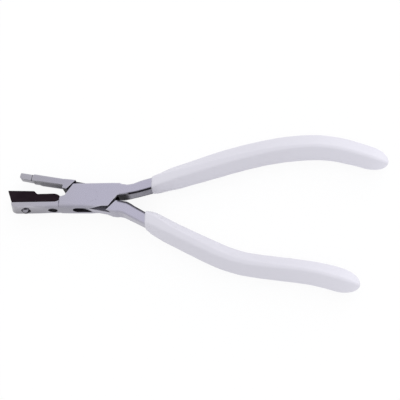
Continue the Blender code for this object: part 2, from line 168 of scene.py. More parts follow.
# %% [markdown]
# The sky is a gradient: it falls off from the far side, over the top, to the side of the camera, so the
# rolled edges of the steel darken softly and the grips get a light and a shaded side. Softbox lamps could
# do that, but polished steel would mirror their outlines. One very wide sun adds a little direction.

# %% Sky and sun
SKY_COLOR = (0.98, 0.98, 1.0, 1.0)
SKY_LEVEL = 0.94
SKY_SLOPES = (("Z", 0.10), ("Y", 0.10), ("X", 0.10))   # brighter overhead, on the far side and on the right
SUN_STRENGTH = 0.55
SUN_ANGLE = np.radians(45.0)
SUN_FROM = Vector((0.45, 0.78, 0.42))

sun = bpy.data.objects.new("sun", bpy.data.lights.new("sun", "SUN"))
sun.data.energy = SUN_STRENGTH
sun.data.angle = SUN_ANGLE
sun.rotation_mode = "QUATERNION"
sun.rotation_quaternion = SUN_FROM.to_track_quat("Z", "Y")
scene.collection.objects.link(sun)

world = bpy.data.worlds.new("studio_sky")
world.use_nodes = True
scene.world = world
sky = world.node_tree
direction = sky.nodes.new("ShaderNodeSeparateXYZ")
sky.links.new(sky.nodes.new("ShaderNodeTexCoord").outputs["Generated"], direction.inputs[0])
brightness = SKY_LEVEL
for axis, slope in SKY_SLOPES:
    brightness = sum_up(sky, "MULTIPLY_ADD", direction.outputs[axis], slope, brightness)
sky.links.new(brightness, sky.nodes["Background"].inputs["Strength"])
sky.nodes["Background"].inputs["Color"].default_value = SKY_COLOR
print("sky", SKY_LEVEL, "at the horizon, sun", SUN_STRENGTH)

# %% [markdown]
# ## From arrays to meshes
#
# Every piece is worked out in millimetres, about the pivot and the mid-plane, with the jaws closed. There
# the tool is simplest: the two handles mirror each other, and the bar lies on the pad. A last matrix turns
# the moving half open, lifts the mid-plane and goes to metres, so each finished object sits at the origin.

# %% Mesh helpers
REST_OPENING = np.radians(10.4)
SHARP_ANGLE = np.radians(40.0)       # steeper edges stay crisp in the shading
lift = Matrix.Translation((0, 0, BOX_HALF))
PLACE = {
    "fixed": Matrix.Scale(MM, 4) @ lift,
    "moving": Matrix.Scale(MM, 4) @ lift @ Matrix.Rotation(-REST_OPENING, 4, "Z"),
}


def skin(name, rings, edge=0.0, grime_and_shade=0.0):
    """A closed skin through rings of points, an array (rings, points, 3), with both ends capped.

    Point j of ring i joins point j of ring i + 1 and point j + 1 of its own ring, and the last point of a
    ring joins the first. The edge mark holds how much each point is rubbed bright, with painted highlights
    where it is pushed above the usual, and the dark mark how dark it is with oil and with painted shade; both
    are kept on the faces, which is where they survive the cuts that follow.
    """
    count, around = rings.shape[:2]
    index = np.arange(count * around).reshape(count, around)
    after = np.roll(index, -1, axis=1)
    quads = np.stack([index[:-1], index[1:], after[1:], after[:-1]], axis=-1).reshape(-1, 4)
    faces = quads.tolist() + [index[0].tolist(), index[-1, ::-1].tolist()]
    mesh = bpy.data.meshes.new(name)
    mesh.from_pydata(rings.reshape(-1, 3), [], faces)
    for mark, values in (("edge", edge), ("grime_and_shade", grime_and_shade)):
        values = np.broadcast_to(np.asarray(values, float), (count, around))
        pairs = (values[:-1] + values[1:]) / 2
        on_faces = np.append((pairs + np.roll(pairs, -1, axis=1)) / 2, [values[0].mean(), values[-1].mean()])
        mesh.attributes.new(mark, "FLOAT", "FACE").data.foreach_set("value", on_faces)
    obj = bpy.data.objects.new(name, mesh)
    scene.collection.objects.link(obj)
    return obj


def join_or_cut(target, tool, operation):
    """Join the tool to the target, or cut it out, and throw the tool away."""
    modifier = target.modifiers.new("shape", "BOOLEAN")
    modifier.operation = operation
    modifier.solver = "EXACT"
    modifier.object = tool
    graph = bpy.context.evaluated_depsgraph_get()
    shaped = bpy.data.meshes.new_from_object(target.evaluated_get(graph))
    target.modifiers.clear()
    target.data = shaped
    bpy.data.objects.remove(tool)


def settle(obj, half):
    """Move a finished piece into the frame, shade it, and let it ride on its half."""
    obj.data.transform(PLACE[half])
    obj.data.shade_smooth()
    obj.data.set_sharp_from_angle(angle=SHARP_ANGLE)
    obj.data.update()
    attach(obj, half)
    print(obj.name, len(obj.data.polygons), "faces on", half)


print("the jaws stand open by", round(np.degrees(REST_OPENING), 1), "degrees")

# %% [markdown]
# ## Curves along the tool
#
# Outlines, thicknesses and marks are all given by a few points along X. A Blender curve could draw each of
# them, but a shape needs many such curves at the same stations, and that is one line of numpy each.

# %% Curve helpers
EASE_STEPS = 15          # places that are averaged to ease a corner


def through(x, points):
    """The straight lines that join the points, which are (x, value) pairs."""
    return np.interp(x, *np.transpose(points))


def eased(x, points, ease=0.12):
    """The line through the points, with its corners averaged over a short way on both sides."""
    window = np.linspace(-ease, ease, EASE_STEPS)
    return through(x[:, None] + window, points).mean(axis=1)


def ease_step(s):
    """3s^2 - 2s^3, which goes from 0 to 1 and is level at both ends."""
    return s * s * (3 - 2 * s)


def quarter_round(from_end, radius):
    """How far a round corner lies inside a square one, at a distance from the end: radius minus the root of
    radius^2 - d^2, where d is the way left to the end of the arc."""
    left = np.clip(radius - from_end, 0, radius)
    return radius - np.sqrt(radius ** 2 - left ** 2)


def runs(*stretches):
    """Stations along X: (start, end, spacing) stretches joined end to end."""
    parts = [np.arange(start, end, step) for start, end, step in stretches]
    return np.unique(np.concatenate([*parts, [stretches[-1][1]]]).round(4))


def past(points, x):
    """The points of a curve beyond x."""
    return points[points[:, 0] > x]


print("a corner 1 mm high is eased to", eased(np.zeros(1), ((-1, 0), (0, 1), (1, 0)))[0].round(2), "mm")

# %% [markdown]
# ## Slabs with rolled edges
#
# Jaws, box, web and pad are all slabs: seen from the front each lies between a lower and an upper curve,
# and its thickness changes along it. Blender's Bevel would round their edges, but where outlines are
# steep or close together it gives up. Here the edge is rolled instead: at each depth below the face, the
# outline is what a disc rolled along the inside of the curve leaves. That works at any slope and corner.

# %% Sections of a slab
WALL_STEPS = 6          # points from the middle of a wall to its edge
EDGE_STEPS = 6          # points round an edge
SHELF = 0.3             # mm, a narrow strip beside each edge that keeps the face flat in the shading
MOST_ROUND = 0.9        # the most that an edge takes of the half thickness
CRISP = 0.02            # mm, the radius of an edge that counts as square


def rolled(x, curve, radius, inward):
    """Where a disc of that radius reaches when its middle follows the curve: the highest point of all the
    discs over x for a lower curve (inward = 1), and the lowest one for an upper curve (inward = -1)."""
    reach = radius[:, None] ** 2 - (x[:, None] - x[None, :]) ** 2
    raised = np.where(reach >= 0, inward * curve[None, :] + np.sqrt(np.maximum(reach, 0)), -np.inf)
    return inward * raised.max(axis=1)


def slab_side(x, low, high, thick, low_edge, high_edge, low_middle, high_middle):
    """Half of a slab's sections: up the lower wall from the mid-plane, over the face, down the upper wall.

    A wall runs straight from its curve in the mid-plane to its curve at the face. Along an edge the angle
    goes from 0 to 90 degrees: the depth from the wall is radius times (1 - cos), and the height radius times
    sin, which is a quarter circle.
    """
    middle = (low + high) / 2
    heights = np.arange(WALL_STEPS) / WALL_STEPS
    angles = np.linspace(0, np.pi / 2, EDGE_STEPS)
    points = []
    for curve, centre, radius, inward in ((low, low_middle, low_edge, 1), (high, high_middle, high_edge, -1)):
        radius = np.minimum(radius, MOST_ROUND * thick)
        side = [(centre + (curve - centre) * h, (thick - radius) * h) for h in heights]
        side += [(rolled(x, curve, radius * (1 - np.cos(a)), inward), thick - radius * (1 - np.sin(a)))
                 for a in angles]
        side.append((side[-1][0] + inward * SHELF, thick))
        side = [np.stack([inward * np.minimum(inward * y, inward * middle), z], axis=-1) for y, z in side]
        points += side if inward > 0 else side[::-1]
    return np.stack(points, axis=1)


def close_ring(front, back):
    """The full ring of a section: the points of the front half, then those of the back half in turn."""
    return np.concatenate([front, back[:, -2:0:-1] * np.array([1.0, -1.0])], axis=1)


print("a section has", 4 * (WALL_STEPS + EDGE_STEPS + 1) - 2, "points")

# %% [markdown]
# Each point of a section also carries two marks, for the finishes to read: how much its edge is rubbed
# bright, together with painted highlights, and how dark its place is with oil and with painted shade. A mask
# painted by hand would do for one view, but marks that follow the wall, the edge and the face of a slab
# stay right wherever the outline goes.

# %% Slab
RUB_RADIUS = 0.45       # mm, edges rounder than this are rubbed less
side_edge = np.concatenate([np.zeros(WALL_STEPS), np.sin(np.linspace(0, np.pi, EDGE_STEPS)), [0.0]])


def side_marks(x, wall=0.0, edge=0.0, face=0.0, fall=0.0, middle=None):
    """Marks along one side of a slab, for its wall, its rolled edge and the face beside it. fall is added to
    the edge where it meets the wall and runs out towards the face. middle is the mark of the wall at the
    mid-plane, where it differs from the one at its edge."""
    middle = wall if middle is None else middle
    wall, edge, face, fall, middle = (np.broadcast_to(mark, x.shape)[:, None]
                                      for mark in (wall, edge, face, fall, middle))
    edge = edge + fall * np.linspace(1, 0, EDGE_STEPS)
    return np.concatenate([middle + (wall - middle) * np.arange(WALL_STEPS) / WALL_STEPS, edge, face], axis=1)


def ring_marks(low_side, high_side, far_low=None):
    """Marks for the points of a closed ring, from those of its lower and its upper side. far_low holds those
    of the lower side behind the mid-plane, where they differ."""
    near = np.concatenate([low_side, high_side[:, ::-1]], axis=1)
    far = near if far_low is None else np.concatenate([far_low, high_side[:, ::-1]], axis=1)
    return np.concatenate([near, far[:, -2:0:-1]], axis=1)


def slab(name, x, low, high, thick, low_edge, high_edge, ends=(0.0, 0.0), handle=None, grime_and_shade=0.0, back=None,
         rub_and_highlight=(1.0, 1.0), skew=0.0):
    """A slab along X. ends are the radii of the two end faces' edges, handle blends into other sections, back
    holds the far side's two curves and two edge radii, where they differ from those of the near side, and
    the rub argument says how much brighter than usual the lower and the upper edge are, from wear and from
    painted highlights. skew moves the points of a section along X by that share of their height."""
    near = (low, high, low_edge, high_edge)
    near, far = ([np.broadcast_to(np.asarray(value, float), x.shape) for value in side]
                 for side in (near, back or near))
    inset = np.maximum(quarter_round(x - x[0], ends[0]), quarter_round(x[-1] - x, ends[1]))
    middles = (near[0] + far[0]) / 2 + inset, (near[1] + far[1]) / 2 - inset
    halves = []
    for low_curve, high_curve, low_radius, high_radius in (near, far):
        radii = (np.maximum(radius - inset, CRISP) for radius in (low_radius, high_radius))
        halves.append(slab_side(x, low_curve + inset, high_curve - inset, thick - inset, *radii, *middles))
    if handle is not None:
        share, section = handle
        halves = [half + share[:, None, None] * (section - half) for half in halves]
    ring = close_ring(*halves)
    stations = x[:, None, None] + np.broadcast_to(skew, x.shape)[:, None, None] * ring[:, :, 1:]
    rings = np.concatenate([stations, ring], axis=2)
    # the edge mark: wear on the rolled edges, and a painted highlight where the rub argument is above 1
    rub_and_highlight_marks = [(np.minimum(RUB_RADIUS / near[k + 2], 1) * rub_and_highlight[k])[:, None] * side_edge for k in (0, 1)]
    return skin(name, rings, ring_marks(*rub_and_highlight_marks), grime_and_shade)


print("an edge is rubbed most at point", side_edge.argmax() - WALL_STEPS + 1, "of", EDGE_STEPS)

# %% [markdown]
# ## Centre lines of the handles
#
# Each handle is a rounded six-sided bar along a curved line. A few knots, with a place, a direction and a
# section each, are enough: between them runs a cubic curve, and the section eases from one to the next.

# %% Handle lines
UPPER_KNOTS = (          # x, y, direction in degrees, width and thickness of the steel, jaws closed
    (10.0, 2.55, 0.0, 4.6, 7.0),
    (23.7, 5.46, 17.5, 4.1, 5.8),
    (26.4, 6.32, 17.7, 5.3, 6.0),
    (34.0, 8.85, 18.0, 6.7, 6.2),
    (52.0, 14.8, 17.5, 7.6, 6.2),
    (86.0, 21.35, 1.5, 7.8, 6.2),
    (98.0, 20.1, -12.5, 7.3, 6.1),
    (108.2, 17.1, -18.0, 6.75, 5.9),
)
LOWER_KNOTS = (
    (11.4, -2.55, 0.0, 4.6, 7.0),
    (23.2, -5.2, -15.0, 4.6, 5.8),
    (26.2, -5.8, -16.0, 5.8, 6.0),
    (34.0, -8.45, -16.0, 6.2, 6.2),
    (52.0, -13.45, -15.0, 6.7, 6.2),
    (68.0, -15.5, 1.5, 6.55, 6.2),
    (91.0, -14.3, 0.5, 6.55, 6.2),
    (101.2, -14.85, -6.0, 6.7, 5.9),
)
LINE_STEPS = 24          # points from one knot to the next


def handle_line(knots):
    """Points, headings and sections along a handle: between two knots a cubic Bezier curve, whose inner
    control points lie a third of the way along the directions, with sizes easing as 3s^2 - 2s^3."""
    knots = np.asarray(knots, float)
    heading = np.radians(knots[:, 2])
    aim = np.stack([np.cos(heading), np.sin(heading)], axis=1)[:, None]
    start, end = knots[:-1, None, :2], knots[1:, None, :2]
    pull = np.linalg.norm(end - start, axis=2, keepdims=True) / 3
    leave, arrive = start + pull * aim[:-1], end - pull * aim[1:]
    s = np.linspace(0, 1, LINE_STEPS, endpoint=False)[None, :, None]
    line = (1 - s) ** 3 * start + 3 * s * (1 - s) ** 2 * leave + 3 * s ** 2 * (1 - s) * arrive + s ** 3 * end
    size = knots[:-1, None, 3:] + (knots[1:, None, 3:] - knots[:-1, None, 3:]) * ease_step(s)
    line = np.concatenate([line.reshape(-1, 2), knots[-1:, :2]])
    size = np.concatenate([size.reshape(-1, 2), knots[-1:, 3:]])
    heading = np.arctan2(np.gradient(line[:, 1]), np.gradient(line[:, 0]))
    return line, heading, size


upper_handle, lower_handle = handle_line(UPPER_KNOTS), handle_line(LOWER_KNOTS)
print("upper handle", len(upper_handle[0]), "points, lower handle", len(lower_handle[0]))

# %% [markdown]
# Across a handle the section is a flat hexagon with round corners. Its faces start flat by the box and
# come to a ridge further back. On the real grips the ridge lies off the middle, so it leans here too.

# %% Six-sided sections
TANG_ROUND, TANG_RIDGE = 0.7, 0.3          # mm, radii at the sides of the steel and along its faces
FLAT_SHARE = ((24.0, 0.55), (34.0, 0.3), (60.0, 0.15), (85.0, 0.05))     # how much of the width is flat
LEAN_RUN = ((30.0, 0.0), (60.0, 1.0))      # where the ridge goes off the middle of a face
UPPER_LEAN, LOWER_LEAN = -0.85, -0.35      # mm, and how far


def six_sided(x, lean, width, thick, side_radius, face_radius, side_steps, face_steps):
    """Front half of a rounded hexagon: an arc round the side corner, from level to the slope of the side,
    then an arc round the face corner, from that slope to upright, and the same on the other side. With the
    arcs' middles a apart across and b apart upwards, the line that touches both has the slope
    arccos((face radius - side radius) / hypot(a, b)) - arctan(b / a)."""
    half_w, half_t, ridge = (v[:, None] for v in (width / 2, thick / 2, lean * through(x, LEAN_RUN)))
    side_radius, face_radius = (np.broadcast_to(r, x.shape)[:, None] for r in (side_radius, face_radius))
    half_w, half_t = half_w - side_radius, half_t - face_radius
    half_f = through(x, FLAT_SHARE)[:, None] * (half_w + TANG_ROUND)
    halves = []
    for sign in (-1, 1):
        corner = half_f + sign * ridge
        slope = np.arccos((face_radius - side_radius) / np.hypot(half_w - corner, half_t))
        slope = slope - np.arctan2(half_t, half_w - corner)
        side = slope * np.linspace(0, 1, side_steps)
        face = slope + (np.pi / 2 - slope) * np.linspace(0, 1, face_steps)
        across = np.concatenate([half_w + side_radius * np.cos(side), corner + face_radius * np.cos(face)], 1)
        up = np.concatenate([side_radius * np.sin(side), half_t + face_radius * np.sin(face)], 1)
        halves.append(np.stack([sign * across, up], axis=-1)[:, ::-sign])
    return np.concatenate(halves, axis=1)


print("the ridge leans", -UPPER_LEAN, "mm on the upper handle and", -LOWER_LEAN, "mm on the lower one")

# %% [markdown]
# The steel inside a grip is such a bar too, and no eye sees it. By the box the same steel is a slab with
# rolled edges. Both kinds of section have as many points, so one can turn into the other inside the grip.

# %% Steel of a handle
HIDDEN_X = (27.0, 36.0)      # inside the grip, where the rolled slab turns six-sided


def handle_curves(line, heading, size):
    """Lower curve, upper curve and half thickness of a handle, as points over the x of its centre line.
    Along Y, the curves lie half the width divided by the cosine of the heading from the line."""
    x, y = line.T
    reach = size[:, 0] / 2 / np.cos(heading)
    return [np.stack([x, values], 1) for values in (y - reach, y + reach, size[:, 1] / 2)]


def hidden_tang(x, line, heading, size, lean):
    """How far, and into what, the sections turn inside the grip."""
    share = np.clip((x - HIDDEN_X[0]) / (HIDDEN_X[1] - HIDDEN_X[0]), 0, 1)
    y, aim, width, thick = (np.interp(x, line[:, 0], along) for along in (line[:, 1], heading, *size.T))
    section = six_sided(x, lean, width, thick, TANG_ROUND, TANG_RIDGE, WALL_STEPS, EDGE_STEPS + 1)
    section = section / np.stack([np.cos(aim), np.ones_like(x)], 1)[:, None]
    return ease_step(share), section + np.stack([y, np.zeros_like(x)], 1)[:, None]


tang_low, tang_high, tang_half = handle_curves(*upper_handle)
root_low, root_high, root_half = handle_curves(*lower_handle)
print("the tangs end at", UPPER_KNOTS[-1][0], "and", LOWER_KNOTS[-1][0], "mm")

# %% [markdown]
# ## The half with the box
#
# One forging holds the lower jaw, the two cheeks of the box and the upper handle. Its lower and upper
# curves follow the outline of the photograph, station by station. Cut and joined boxes would give the rough
# form, but little in the forging is square: its nose is round and leans, the belly rises to the box, the
# near cheek is cut back over the web, and behind the box the handle dips into a short neck.

# %% Outline of the fixed half
NOSE_X, NOSE_ROUND, NOSE_STEPS = -33.2, 2.3, 12
SEAT_Y, SEAT_DROP, BELLY_Y = -2.5, 0.3, -5.4       # the seat drops a little towards the nose
BOX_Y = 5.0
HEEL = ((-14.9, -2.5), (-13.9, -2.25), (-13.3, -1.7), (-13.0, -1.05), (-12.8, -0.5))
CROTCH, INNER, OUTER = (10.75, 0.25), (10.4, 1.2), (7.9, 5.0)       # of the shoulder by the jaws, mirrored
BELLY_RISE = ((-15.6, -5.15), (-13.2, -5.0))                        # from the jaw to the box
REAR_SHOULDER = ((6.55, -5.0), (9.2, -1.2), (10.05, 0.05), (11.2, 0.25))   # of the shoulder by the handles
NECK = ((11.2, 5.3), (11.9, 4.9), (13.9, 4.68), (15.0, 4.8), (16.5, 5.15))
NECK_LOW_X, NECK_HIGH_X = 12.0, 19.0               # where the curves of the handle take over
CREST, CREST_EASE = ((17.0, 0.0), (20.5, 0.2), (25.0, 0.25), (28.0, 0.0)), 1.0     # the rise behind the neck
NOTCH_Y, NOTCH_EASE = -4.45, 0.02                  # the near cheek is cut back here, over the web
NOTCH = ((0.6, BELLY_Y), (0.65, -BOX_Y), (4.0, NOTCH_Y), (8.0, NOTCH_Y), (8.1, BELLY_Y))
# The lower wall leans: how far the lower curve is lifted on the near side and on the far side.
NEAR_LIFT = ((-22.0, 0.35), (-17.5, 0.0), (13.0, 0.0), (15.5, -0.2), (24.0, -0.2), (27.0, 0.0))
FAR_LIFT = ((-22.0, -0.22), (-17.0, -0.08), (-13.2, -0.2), (-9.0, -0.27), (-1.0, -0.27), (2.0, -0.08),
            (6.6, -0.08), (7.2, 0.0), (10.8, 0.0), (12.0, -0.2), (16.0, 0.0), (20.0, -0.2), (24.0, -0.4),
            (27.0, 0.0))

fixed_x = runs((NOSE_X, NOSE_X + 2, 0.08), (NOSE_X + 2, -14.2, 0.4), (-14.2, -7.2, 0.08), (-7.2, 7.2, 0.4),
               (7.2, 14.0, 0.08), (14.0, 30.0, 0.4), (30.0, UPPER_KNOTS[-1][0], 1.0))
from_nose = np.linspace(0, NOSE_ROUND, NOSE_STEPS)
nose = np.stack([NOSE_X + from_nose, BELLY_Y + quarter_round(from_nose, NOSE_ROUND)], 1)
front_shoulder = [(-a, b) for a, b in (CROTCH, INNER, OUTER)]
fixed_low = eased(fixed_x, np.concatenate([nose, BELLY_RISE, REAR_SHOULDER, past(tang_low, NECK_LOW_X)]))
fixed_high = eased(fixed_x, np.concatenate([[(NOSE_X, SEAT_Y - SEAT_DROP)], HEEL, front_shoulder, NECK,
                                            past(tang_high, NECK_HIGH_X)]))
fixed_high = fixed_high + eased(fixed_x, CREST, CREST_EASE)
near_low = np.maximum(fixed_low, eased(fixed_x, NOTCH, NOTCH_EASE)) + eased(fixed_x, NEAR_LIFT)
far_low = fixed_low + eased(fixed_x, FAR_LIFT)
print("fixed half from", fixed_x[0], "to", round(fixed_x[-1], 1), "mm,", len(fixed_x), "stations")

# %% [markdown]
# The jaw is a little thinner than the box, and a fine line of painted shade marks that step behind the
# pad. The near edge along the belly is rolled softly and the far edge is crisp, as its outline in the picture
# shows. Painted shade darkens the walls, most of all by the slot and in the crotch of the handles, and on
# the near side it fades towards the nose.

# %% Fixed half
STEP_X, STEP_RUN, STEP_EASE = -13.1, (-0.08, 0.04), 0.08       # where the jaw meets the thicker box
STEP_LINE, STEP_ON_EDGE = 0.2, 0.15          # mm, the line of painted shade there, and its share on the near edge
JAW_HALF = 3.1
CHEEK_END_X, TANG_X = 8.5, 14.0              # between these the box thins to the handle
NOSE_EDGE, FAR_EDGE, EDGE_EASE = 0.4, 0.25, 0.3
NOSE_SKEW = ((NOSE_X, 0.18), (-29.5, 0.0))   # the end of the nose leans, so that its far side is longer
# Radii of the near lower edge and of the upper edges.
LOW_EDGE = ((-24.0, 0.5), (-16.0, 1.5), (-12.0, 1.4), (-4.0, 1.2), (0.6, 1.0), (4.0, 0.25), (7.5, 0.15),
            (8.4, 0.2), (10.5, 0.22), (13.0, 0.35), (15.0, 0.5))
HIGH_EDGE = ((-14.0, 0.25), (-12.0, 0.35), (9.0, 0.4), (14.0, 0.6))
# How bright the lower edge is rubbed, with a painted highlight by the shoulder, and how dark the painted
# shade on the rolled belly, the walls and the neck's edge is.
LOW_RUB_AND_HIGHLIGHT = ((7.6, 1.0), (8.2, 2.5), (10.2, 2.5), (10.6, 1.0))
BELLY_FALL = ((-22.0, 0.08), (-18.5, 0.28), (-12.0, 0.36), (0.0, 0.36), (2.0, 0.0))
NEAR_WALL = ((-22.0, 0.1), (-18.5, 0.28), (-12.0, 0.36), (0.0, 0.36), (1.4, 0.95), (13.4, 0.95), (15.0, 0.55))
FAR_WALL = ((-22.0, 0.45), (-18.5, 0.36), (-12.0, 0.36), (6.6, 0.25), (7.0, 0.95), (13.4, 0.95), (15.0, 0.55))
NECK_EDGE = ((10.5, 0.0), (11.2, 0.4), (13.8, 0.4), (14.8, 1.0))

jaw_and_box = [(NOSE_X, JAW_HALF), (STEP_X + STEP_RUN[0], JAW_HALF), (STEP_X + STEP_RUN[1], BOX_HALF),
               (CHEEK_END_X, BOX_HALF)]
fixed_thick = eased(fixed_x, np.concatenate([jaw_and_box, past(tang_half, TANG_X)]), STEP_EASE)
low_edge, high_edge = (eased(fixed_x, points, EDGE_EASE) for points in (LOW_EDGE, HIGH_EDGE))
step_line = np.exp(-((fixed_x - STEP_X) / STEP_LINE) ** 2)
near_wall, far_wall, neck_edge = (through(fixed_x, points) for points in (NEAR_WALL, FAR_WALL, NECK_EDGE))
middle_wall = (near_wall + far_wall) / 2
fixed_marks = ring_marks(
    side_marks(fixed_x, near_wall, neck_edge + STEP_ON_EDGE * step_line, step_line,
               through(fixed_x, BELLY_FALL), middle_wall),
    side_marks(fixed_x, face=step_line),
    side_marks(fixed_x, far_wall, neck_edge, middle=middle_wall))
fixed_half = slab("fixed_half_steel", fixed_x, near_low, fixed_high, fixed_thick, low_edge, high_edge,
                  ends=(NOSE_EDGE, 0.0), handle=hidden_tang(fixed_x, *upper_handle, UPPER_LEAN),
                  grime_and_shade=fixed_marks, back=(far_low, fixed_high, FAR_EDGE, high_edge),
                  rub_and_highlight=(through(fixed_x, LOW_RUB_AND_HIGHLIGHT), 1.0), skew=through(fixed_x, NOSE_SKEW))
print("fixed half", len(fixed_half.data.polygons), "faces")

# %% [markdown]
# The web of the other half goes through the box in a slot, which is open at the top and at the bottom.
# Its walls are painted dark as shade, so its mouth shows dark under the box. A plain slab with square edges
# is the milling cutter.

# %% Slot through the box
SLOT_HALF = 2.0
SLOT_END_X = 5.9
OVERSHOOT = 2.0          # how far a cutter runs out of the steel
SHORT_BY = 0.05          # how far a slab stops before the end of its curves

slot_run = (CROTCH[0] - SLOT_END_X) / (BOX_Y + CROTCH[1]) * OVERSHOOT
slot_corner = SLOT_END_X - slot_run
slot_low = ((-CROTCH[0] - OVERSHOOT, BOX_Y), (-CROTCH[0], CROTCH[1]), (-slot_corner, -BOX_Y - OVERSHOOT),
            (CROTCH[0], -BOX_Y - OVERSHOOT), (CROTCH[0] + OVERSHOOT, -BOX_Y))
slot_reach = CROTCH[0] + OVERSHOOT - SHORT_BY
slot_x = np.array([-slot_reach, -CROTCH[0], -slot_corner, slot_corner, CROTCH[0], slot_reach])
slot_bottom = through(slot_x, slot_low)
# the cutter's full dark mark becomes painted shade on the walls of the slot
slot = slab("slot", slot_x, slot_bottom, -slot_bottom[::-1], SLOT_HALF, CRISP, CRISP, grime_and_shade=1.0)
join_or_cut(fixed_half, slot, "DIFFERENCE")
print("slot", 2 * SLOT_HALF, "mm wide")

# %% [markdown]
# ## Turned pieces: rivet, screws and their holes
#
# Anything made on a lathe is a profile carried round an axis. Blender's Screw modifier does that, and so do
# a cosine and a sine. The rivet is peened into a countersink on both sides and ground flush, so only a hair
# line shows. The ends of the slot are round, as a milling cutter leaves them.

# %% Rivet and slot ends
TURN_STEPS = 72
POLE = 0.01                                    # mm, where a profile stops short of its axis
RIVET_RADIUS, RIVET_FLARE = 2.0, 0.5
HAIR = 0.012                                   # gap round the rivet's ends
SLOT_END_DEPTH = 4.5
turn_angle = np.linspace(0, 2 * np.pi, TURN_STEPS, endpoint=False)


def turned(name, profile, axis_x=None, base_y=0.0, grime_and_shade=0.0):
    """A profile of (radius, height) points carried round Z: x = r cos a, y = r sin a, z = height. With
    axis_x it stands along +Y at that x instead, from base_y."""
    profile = np.asarray(profile, float)
    radius, height = profile[:, 0, None], profile[:, 1, None] + 0 * turn_angle
    across, along = radius * np.cos(turn_angle), radius * np.sin(turn_angle)
    if axis_x is None:
        rings = np.stack([across, along, height], axis=-1)
    else:
        rings = np.stack([axis_x + across, base_y + height, -along], axis=-1)
    return skin(name, rings, grime_and_shade=grime_and_shade)


def rivet_profile(gap, beyond):
    """Half a section of the rivet from end to end, or of its hole, whose cones run on beyond the box."""
    end, shank = BOX_HALF + beyond, RIVET_RADIUS + gap
    cone = [(POLE, end), (shank + RIVET_FLARE + beyond, end), (shank, BOX_HALF - RIVET_FLARE)]
    return cone + [(r, -h) for r, h in reversed(cone)]


slot_end = [(POLE, SLOT_END_DEPTH), (SLOT_HALF, SLOT_END_DEPTH), (SLOT_HALF, 0.0), (POLE, 0.0)]
# The round ends of the slot are painted dark inside too, as shade.
for at, base in ((-SLOT_END_X, -BOX_Y - OVERSHOOT), (SLOT_END_X, BOX_Y + OVERSHOOT - SLOT_END_DEPTH)):
    join_or_cut(fixed_half, turned("slot_end", slot_end, at, base, grime_and_shade=1.0), "DIFFERENCE")
join_or_cut(fixed_half, turned("rivet_hole", rivet_profile(HAIR, OVERSHOOT)), "DIFFERENCE")
rivet = turned("pivot_rivet_steel", rivet_profile(0.0, 0.0))
print("rivet", 2 * BOX_HALF, "mm long")

# %% [markdown]
# The pad is held by two screws that are driven up through the jaw. The front one has a domed head that
# stands a little proud; the head is painted dark as shade, with a light spot on its upper side that is a
# painted highlight. The rear one lies deep in its bore, and bore and head are painted dark as shade. Both
# are one profile with other numbers, and the drill that makes room for a screw is another.

# %% Pad screws
SCREW_RADIUS, SCREW_BITE, SCREW_CHAMFER = 1.0, 2.2, 0.2
HEAD_HEIGHT, HEAD_ROUND, HEAD_BREAK, HEAD_STEPS = 0.9, 0.3, 0.08, 14
DRIVER_SLOT, DRIVER_REACH = (0.5, 0.4), 3.0        # mm, its width and depth, and how far its cutter reaches
PAD_PLAY, SHANK_PLAY = 0.1, 0.05
SCREWS = {               # x, head radius, bore radius, bore depth and height of the head's dome
    "front_pad_screw": (-27.0, 1.63, 1.82, 0.85, 1.0),
    "rear_pad_screw": (-16.0, 1.45, 1.9, 1.6, 0.12),
}
BORE_BREAK = 0.22        # chamfer at the mouth of a bore
SPOT_Z, SPOT_REACH = 1.05, (1.4, 0.5)              # mm, the light spot, a painted highlight: its middle, its reach along X and Z
SPOT_FALL = ((0.75, 0.1), (1.1, 1.0))              # from the painted highlight to dark, in reaches from its middle


def screw_profile(head, length, rise):
    """Half a section from the tip to the underside of the head, a quarter circle and a quarter ellipse."""
    angle = np.linspace(0, np.pi / 2, EDGE_STEPS)
    swell = np.linspace(0, np.pi / 2, HEAD_STEPS)[1:]
    flat = head - HEAD_ROUND
    corner = np.stack([flat + HEAD_ROUND * np.cos(angle),
                       -HEAD_HEIGHT + HEAD_ROUND - HEAD_ROUND * np.sin(angle)], 1)
    dome = np.stack([np.maximum(flat * np.cos(swell), POLE), -HEAD_HEIGHT - rise * np.sin(swell)], 1)
    tip = [(POLE, length), (SCREW_RADIUS - SCREW_CHAMFER, length), (SCREW_RADIUS, length - SCREW_CHAMFER),
           (SCREW_RADIUS, 0.0)]
    return np.concatenate([tip, [(head - HEAD_BREAK, 0.0), (head, -HEAD_BREAK)], corner, dome])


def screw_marks(profile, proud):
    """Painted shade all over, apart from an oval painted highlight on a head that is proud of the jaw."""
    radius, height = profile[:, :1], profile[:, 1:]
    from_spot = np.hypot(radius * np.cos(turn_angle) / SPOT_REACH[0],
                         (radius * np.sin(turn_angle) + SPOT_Z) / SPOT_REACH[1])
    return np.where((height < -HEAD_HEIGHT / 2) & proud, through(from_spot, SPOT_FALL), 1.0)


def drill_profile(length, bore, depth):
    """Half a section of a screw's hole: round the shank, the bore of the head and its chamfered mouth."""
    hole, chamfer = SCREW_RADIUS + SHANK_PLAY, -depth + PAD_PLAY + BORE_BREAK
    return [(POLE, length + PAD_PLAY), (hole, length + PAD_PLAY), (hole, PAD_PLAY), (bore, PAD_PLAY),
            (bore, chamfer), (bore + OVERSHOOT, chamfer - OVERSHOOT), (POLE, chamfer - OVERSHOOT)]


